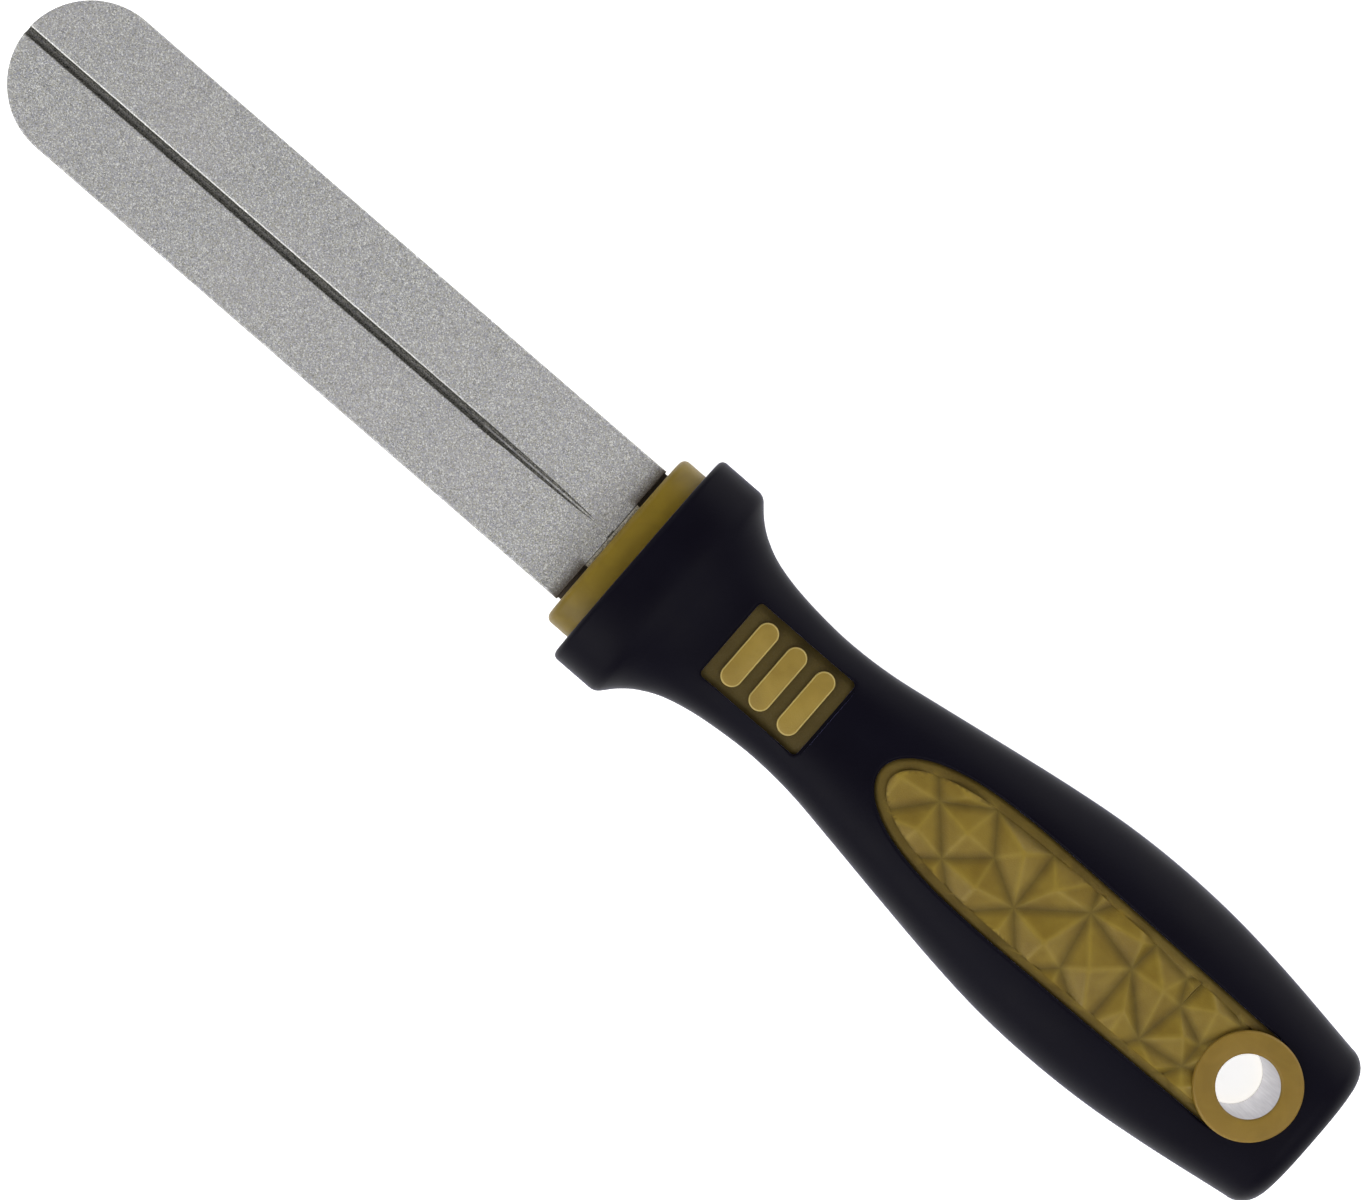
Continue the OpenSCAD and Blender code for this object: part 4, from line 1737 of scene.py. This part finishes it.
@dataclass
class Pads:
    """Palm inlays: a sloping ledge round a field of low pyramids.

    The lattice is irregular, so its cells are drawn one by one and each is raised to a peak.

    Attributes:
        handle: The handle they sit in.
        ledge_mm: Width of the ledge.
        outer_mm: Depth of the ledge's outer edge below the grip's surface.
        inner_mm: Depth of its inner edge.
        pit_mm: Depth of the folds.
        peak_mm: Depth of the peaks.
        brow_mm: Insets of the ledge's eased outer edge, and its depth.
        recess_mm: Depth of the recess for the pyramids.
        gap_mm: How far the recess leans in, and how far the pyramids run under the ledge.
        thick_mm: Thickness of the pyramid field.
        shores_mm: Reach of the painted highlight on ridges, of the painted shade in folds, and of the painted
            shade along the window's wall.
        paints: Strength of the painted highlight on ridges, of the painted shade in folds, and of the painted
            shade on the ledge.
        pits: Where the folds meet: distance behind the guard face and place across, in mm.
        cells: The names of each cell's corners, and its peak.
    """

    handle: Handle
    ledge_mm: float = 1.45
    outer_mm: float = 0.9
    inner_mm: float = 1.12
    pit_mm: float = 1.35
    peak_mm: float = 0.22
    brow_mm: Triple = (0.22, 0.5, 0.12)
    recess_mm: float = 1.7
    gap_mm: tuple[float, float] = (0.04, 0.03)
    thick_mm: float = 2.2
    shores_mm: Triple = (0.6, 1.1, 0.4)
    paints: Triple = (0.7, 0.6, 0.55)
    pits: dict[str, tuple[float, float]] = field(
        default_factory=lambda: {
            "V1": (52.2, -1.8), "V2": (58.8, -6.1), "V3": (57.4, 3.8), "V4": (62.6, -0.9),
            "V5": (68.9, 2.5), "V6": (68.4, -6.5), "V7": (77.1, -3.8), "V8": (78.8, 4.5),
            "V9": (86.1, -1.7), "V11": (94.3, -2.2), "V12": (93.0, 4.8), "V13": (86.2, 8.8),
            "C1": (99.7, 0.0), "C2": (99.8, 3.8), "T1": (47.5, -7.0), "T2": (54.0, -11.0),
            "N": (40.0, 0.0), "B1": (46.5, 5.0), "B2": (63.0, 8.5), "B3": (51.5, 8.5),
            "B4": (74.5, 8.5), "B6": (80.0, 11.0), "T3": (75.5, -8.0),
            "T4": (86.6, -6.3), "T5": (81.0, -10.0), "T6": (72.0, -12.0), "T7": (92.6, -5.6),
            "T8": (94.8, -8.0), "T9": (103.0, -5.5), "B8": (90.0, 9.5), "B9": (97.0, 9.0),
            "R1": (106.0, 1.0), "R2": (106.0, 8.0), "T10": (62.0, -12.0), "T11": (90.0, -11.0),
            "B5": (69.0, 12.0), "R3": (106.0, -9.0), "B10": (57.0, 12.0),
        }
    )
    cells: tuple[tuple[tuple[str, ...], tuple[float, float]], ...] = (
        (("V1", "T1", "N", "B1"), (46.0, -0.8)),
        (("V1", "V2", "T2", "T1"), (54.6, -4.8)),
        (("V1", "V2", "V4", "V3"), (57.7, -1.0)),
        (("V1", "V3", "B3", "B1"), (52.3, 2.9)),
        (("V2", "V4", "V5", "V6"), (65.2, -4.0)),
        (("V3", "V4", "V5", "B2"), (63.2, 3.8)),
        (("V3", "B2", "B10", "B3"), (57.5, 8.2)),
        (("V5", "B2", "B5", "B4"), (69.2, 6.3)),
        (("V5", "V6", "T3", "V7"), (71.5, -3.0)),
        (("V5", "V7", "V8", "B4"), (74.9, 3.4)),
        (("V7", "V9", "V13", "V8"), (81.8, 2.1)),
        (("V8", "V13", "B6", "B4"), (79.5, 7.9)),
        (("V7", "T5", "T6", "T3"), (77.0, -9.0)),
        (("V7", "V9", "T4", "T5"), (84.9, -5.4)),
        (("V9", "T4", "T7", "V11", "V12"), (91.2, -2.25)),
        (("V9", "V12", "B8", "V13"), (88.9, 3.2)),
        (("V11", "T7", "T8"), (94.2, -5.2)),
        (("T4", "T5", "T11"), (85.9, -9.0)),
        (("T4", "T11", "T8", "T7"), (91.0, -8.2)),
        (("V11", "C1", "C2", "V12"), (97.3, 0.8)),
        (("V11", "C1", "T9", "T8"), (98.5, -4.8)),
        (("V12", "C2", "B9", "B8"), (96.8, 6.6)),
        (("C1", "T9", "R1", "C2"), (102.0, -0.6)),
        (("C2", "R1", "R2", "B9"), (101.5, 6.0)),
        (("V2", "T10", "T2"), (58.0, -9.5)),
        (("V2", "V6", "T10"), (63.0, -8.5)),
        (("V6", "T3", "T6", "T10"), (69.5, -9.0)),
        (("B2", "B10", "B5"), (63.5, 11.0)),
        (("B4", "B5", "B6"), (74.5, 11.0)),
        (("T8", "T11", "R3", "T9"), (98.0, -8.6)),
    )

    def build(self) -> Iterator[Piece]:
        """Builds the front pad and its rear twin.

        Yields:
            Each pad.
        """
        pad = self.ledge()
        carve(pad, self.island(), Cut.TOGETHER)
        carve(pad, self.handle.bore("pad_bore"), Cut.AWAY)
        settle(pad, 28)
        self.paint(pad)
        OliveRubber("olive_rubber").dress(pad)
        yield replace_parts(pad, "front_palm_inlay")
        rear = other_face(pad, "rear_pad", self.handle.grip.layout.mid_z)
        settle(rear, 28)
        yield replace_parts(rear, "rear_palm_inlay")

    def foot(self, x: float, _: float) -> float:
        """Height of the pad's foot, on the core."""
        grip, handle = self.handle.grip, self.handle
        s = (grip.layout.guard_x - x) / MM
        return grip.layout.mid_z + handle.core_t_share * grip.half_t(s) * MM

    def ledge(self) -> Piece:
        """Models the ledge as a plug with a recess for the pyramids."""
        crown, windows = self.handle.grip.crown, self.handle.windows
        start, end, drop = self.brow_mm
        levels = [(windows.pad(0.0), self.foot)]
        for inset, depth in (
            (0.0, self.outer_mm + drop),
            (start, self.outer_mm),
            (end, self.outer_mm),
            (self.ledge_mm, self.inner_mm),
            (self.ledge_mm + self.gap_mm[0], self.recess_mm),
        ):
            levels.append((windows.pad(inset), lambda x, y, depth=depth: crown(x, y) - depth * MM))
        return stacked("front_pad", levels)

    def island(self) -> Piece:
        """Models the pyramid field and trims it to the island's outline."""
        crown, windows, grip = self.handle.grip.crown, self.handle.windows, self.handle.grip
        names = list(self.pits)
        points = [(grip.x(s), y * MM, -self.pit_mm * MM) for s, y in self.pits.values()]
        faces = []
        for corners, (s, y) in self.cells:
            points.append((grip.x(s), y * MM, -self.peak_mm * MM))
            ring = [names.index(c) for c in corners]
            faces += [(ring[k - 1], ring[k], len(points) - 1) for k in range(len(ring))]
        mesh = bpy.data.meshes.new("pyramids")
        mesh.from_pydata(points, [], faces)
        island = bpy.data.objects.new("pyramids", mesh)
        bpy.context.scene.collection.objects.link(island)
        with editing(island):
            bpy.ops.mesh.select_all(action="SELECT")
            bpy.ops.mesh.normals_make_consistent(inside=False)
            bpy.ops.mesh.subdivide(number_cuts=11)
            bpy.ops.mesh.vertices_smooth(factor=0.5, repeat=2, xaxis=False, yaxis=False)
            shape_points(island, lambda _, co: Vector((co.x, co.y, crown(co.x, co.y) + co.z)))
            bpy.ops.mesh.select_mode(type="FACE")
            bpy.ops.mesh.select_all(action="SELECT")
            bpy.ops.mesh.extrude_region_move(TRANSFORM_OT_translate={"value": (0, 0, -self.thick_mm * MM)})
            bpy.ops.mesh.select_all(action="SELECT")
            bpy.ops.mesh.normals_make_consistent(inside=False)
        outline = windows.pad(self.ledge_mm - self.gap_mm[1])
        levels = [(outline, lambda x, y, up=up: crown(x, y) + up * MM) for up in (-2.0, 2.0)]
        carve(island, stacked("island_trim", levels), Cut.WITHIN)
        return island

    def paint(self, pad: Piece) -> None:
        """Paints a highlight near the ridges, and shade near the folds and over the ledge, deepest by the
        window's wall.

        Args:
            pad: The finished pad.
        """
        grip = self.handle.grip
        ridges, folds = [], []
        for corners, (s, y) in self.cells:
            peak = (grip.x(s), y * MM)
            places = [(grip.x(self.pits[c][0]), self.pits[c][1] * MM) for c in corners]
            ridges += [(peak, place) for place in places]
            folds += list(zip(places, places[1:] + places[:1]))
        outline = self.handle.windows.pad()
        edge = list(zip(outline, outline[1:] + outline[:1]))
        # Ridges get a painted highlight; folds and the whole ledge get painted shade, deepest by the window's
        # wall.
        for name, lines, reach, strength, ledge in (
            ("ridge", ridges, self.shores_mm[0] * MM, self.paints[0], 0.0),
            ("fold", folds, self.shores_mm[1] * MM, self.paints[1], self.paints[2]),
        ):
            layer = pad.data.attributes.new(name, "FLOAT", "POINT")
            for point in pad.data.vertices:
                x, y = point.co.x, point.co.y
                s = (grip.layout.guard_x - x) / MM
                value = 0.0
                if abs(y) < self.handle.windows.pad_half(s, self.ledge_mm) * MM:
                    gap = min(off_line(x, y, a, b) for a, b in lines)
                    value = max(0.0, 1 - gap / reach) * strength
                elif ledge:
                    shore = min(off_line(x, y, a, b) for a, b in edge)
                    value = ledge + (1 - ledge) * max(0.0, 1 - shore / (self.shores_mm[2] * MM))
                layer.data[point.index].value = value


def off_line(x: float, y: float, a: tuple[float, float], b: tuple[float, float]) -> float:
    """Distance of a place from a line between two others, seen from above.

    Args:
        x: Place along the tool.
        y: Place across it.
        a: The line's start.
        b: The line's end.

    Returns:
        The distance.
    """
    dx, dy = b[0] - a[0], b[1] - a[1]
    span = dx * dx + dy * dy or 1.0
    u = max(0.0, min(1.0, ((x - a[0]) * dx + (y - a[1]) * dy) / span))
    return math.hypot(x - a[0] - u * dx, y - a[1] - u * dy)


@dataclass
class Eyelet:
    """The hanging hole: an olive bush through the butt, lined with a metal tube.

    Attributes:
        layout: The shared places.
        ease_mm: Radius of the bush's outer edge.
        wall_mm: The liner's wall.
        lip_mm: How far the bush folds over the liner's ends.
    """

    layout: Layout
    ease_mm: float = 0.4
    wall_mm: float = 0.35
    lip_mm: float = 0.6

    def build(self) -> Iterator[Piece]:
        """Builds the bush and the liner.

        Yields:
            Each piece.
        """
        low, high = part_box("eyelet_bush")
        outer, hole = (high.x - low.x) / 2, self.layout.hole_r
        lined, ease = hole + self.wall_mm * MM, self.ease_mm * MM
        end = high.z - self.lip_mm * MM
        half = [
            (outer, self.layout.mid_z),
            *self.arc(outer - ease, high.z - ease, ease, 0),
            *self.arc(hole + ease, high.z - ease, ease, 1),
            (hole, end),
            (lined, end),
        ]
        bush = self.turned("bush_ring", half + self.below(half))
        OlivePlastic("olive_plastic", "bush", olive="#7E6526", deep="#6D561C", rough_low=0.46).dress(bush)
        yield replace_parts(bush, "eyelet_bush")
        half = [(lined, end), (hole, end)]
        liner = self.turned("liner_tube", half + self.below(half))
        DrawnAluminium("liner_metal").dress(liner)
        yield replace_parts(liner, "eyelet_liner")

    def below(self, half: list[tuple[float, float]]) -> list[tuple[float, float]]:
        """Mirrors a profile to the rear face, in reverse order."""
        mid = self.layout.mid_z
        return [(r, 2 * mid - z) for r, z in reversed(half) if abs(z - mid) > TINY]

    def arc(self, r: float, z: float, radius: float, quarter: int) -> list[tuple[float, float]]:
        """Points of a quarter circle.

        Args:
            r: Its centre's distance from the bore's axis.
            z: Its centre's height.
            radius: Its radius.
            quarter: 0 from outward to up, 1 from up to inward.

        Returns:
            Its points in order.
        """
        turns = (math.pi / 2 * (quarter + k / 5) for k in range(6))
        return [(r + radius * math.cos(t), z + radius * math.sin(t)) for t in turns]

    def turned(self, name: str, profile: list[tuple[float, float]], steps: int = 128) -> Piece:
        """Spins a closed profile round the bore's axis.

        Args:
            name: The new object's name.
            profile: Distance from the axis and height of each corner.
            steps: Steps round the axis.

        Returns:
            The ring.
        """
        centre_x = self.layout.bore_x
        deselect()
        bpy.ops.mesh.primitive_circle_add(vertices=len(profile), radius=0.01, fill_type="NOTHING")
        ring = bpy.context.active_object
        ring.name = name
        with editing(ring, "EDGE"):
            shape_points(ring, lambda k, _: Vector((centre_x + profile[k][0], 0, profile[k][1])))
            bpy.ops.mesh.select_all(action="SELECT")
            bpy.ops.mesh.spin(steps=steps, angle=math.tau, center=(centre_x, 0, 0), axis=(0, 0, 1))
        return settle(ring, 35)


# ---------------------------------------------------------------- the studio


@dataclass
class Studio:
    """A plain pale floor, soft lights low at the sides, and the camera straight above.

    Attributes:
        layout: The shared places.
        height: The camera's height over the middle plane.
        aim: Place along and across the tool that it looks at.
        lens_mm: Its lens.
        roll_deg: Its turn about the vertical.
        floor_size: The floor's side.
        floor_gap: How far below the tool it lies.
        lights: Each light's name, place, size and power in watts.
    """

    layout: Layout
    height: float = 0.640
    aim: tuple[float, float] = (-0.0030, 0.0002)
    lens_mm: float = 124.0
    roll_deg: float = 220.9
    floor_size: float = 6.0
    floor_gap: float = 0.0002
    lights: tuple[tuple[str, Triple, float, float], ...] = (
        ("key", (0.1, 0.9, 0.75), 0.9, 11.0),
        ("fill", (-0.2, -1.05, 0.35), 1.0, 8.5),
        ("tip_side", (1.0, -0.1, 0.6), 0.9, 2.0),
        ("butt_side", (-0.66, 0.06, 0.9), 0.45, 3.5),
    )

    def build(self) -> None:
        """Sets up everything that isn't the object."""
        self.floor()
        self.camera()
        self.world()
        for name, place, size, power in self.lights:
            self.light(name, Vector(place), size, power)

    def floor(self) -> None:
        """Adds the floor that the tool lies on."""
        deselect()
        bpy.ops.mesh.primitive_plane_add(size=self.floor_size, location=(0, 0, -self.floor_gap))
        plane = bpy.context.active_object
        plane.name = "floor"
        plane.data.materials.append(PaleFloor("floor").material())

    def camera(self) -> None:
        """Places the camera."""
        data = bpy.data.cameras.new("camera")
        data.lens, data.sensor_width = self.lens_mm, 36.0
        data.clip_start, data.clip_end = 0.01, 20.0
        eye = bpy.data.objects.new("camera", data)
        eye.location = (*self.aim, self.layout.mid_z + self.height)
        eye.rotation_euler = (0, 0, math.radians(self.roll_deg))
        bpy.context.scene.collection.objects.link(eye)
        bpy.context.scene.camera = eye

    def world(self) -> None:
        """Fills the room with an even light that is dimmer overhead."""
        room = bpy.data.worlds.new("room")
        bpy.context.scene.world = room
        room.use_nodes = True
        tree = room.node_tree
        tree.nodes.clear()
        way = add(tree, "ShaderNodeTexCoord").outputs["Generated"]
        apart = add(tree, "ShaderNodeSeparateXYZ", {0: way})
        share = add(
            tree, "ShaderNodeMapRange",
            {"Value": apart.outputs[2], "From Min": 0.45, "From Max": 0.98, "To Min": 0.5, "To Max": 0.06},
        )
        light = add(tree, "ShaderNodeBackground", {"Color": linear("#FBFCFF"), "Strength": share.outputs[0]})
        add(tree, "ShaderNodeOutputWorld", {"Surface": light.outputs[0]})

    def light(self, name: str, place: Vector, size: float, power: float) -> None:
        """Hangs one soft light, facing the tool.

        Args:
            name: Its name.
            place: Where it hangs.
            size: Its side.
            power: Its power in watts.
        """
        data = bpy.data.lights.new(name, "AREA")
        data.size, data.energy = size, power
        lamp = bpy.data.objects.new(name, data)
        lamp.location = place
        lamp.rotation_euler = (-place).to_track_quat("-Z", "Y").to_euler()
        bpy.context.scene.collection.objects.link(lamp)


# ---------------------------------------------------------------- putting it together


def main() -> None:
    """Builds the sub-assemblies in order, hangs each piece on the body, and reports it."""
    logging.basicConfig(level=logging.INFO, format="%(message)s")
    bpy.context.scene.view_settings.view_transform = "Standard"
    layout = Layout.measured()
    Studio(layout).build()
    grip = GripShape(layout)
    handle = Handle(grip, Windows(grip))
    for part in (Blade(layout), handle, Badges(handle), Pads(handle), Eyelet(layout)):
        for piece in part.build():
            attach(piece, "root")
            log.info("%s: %s, %d faces", type(part).__name__, piece.name, len(piece.data.polygons))


if __name__ == "__main__":
    main()
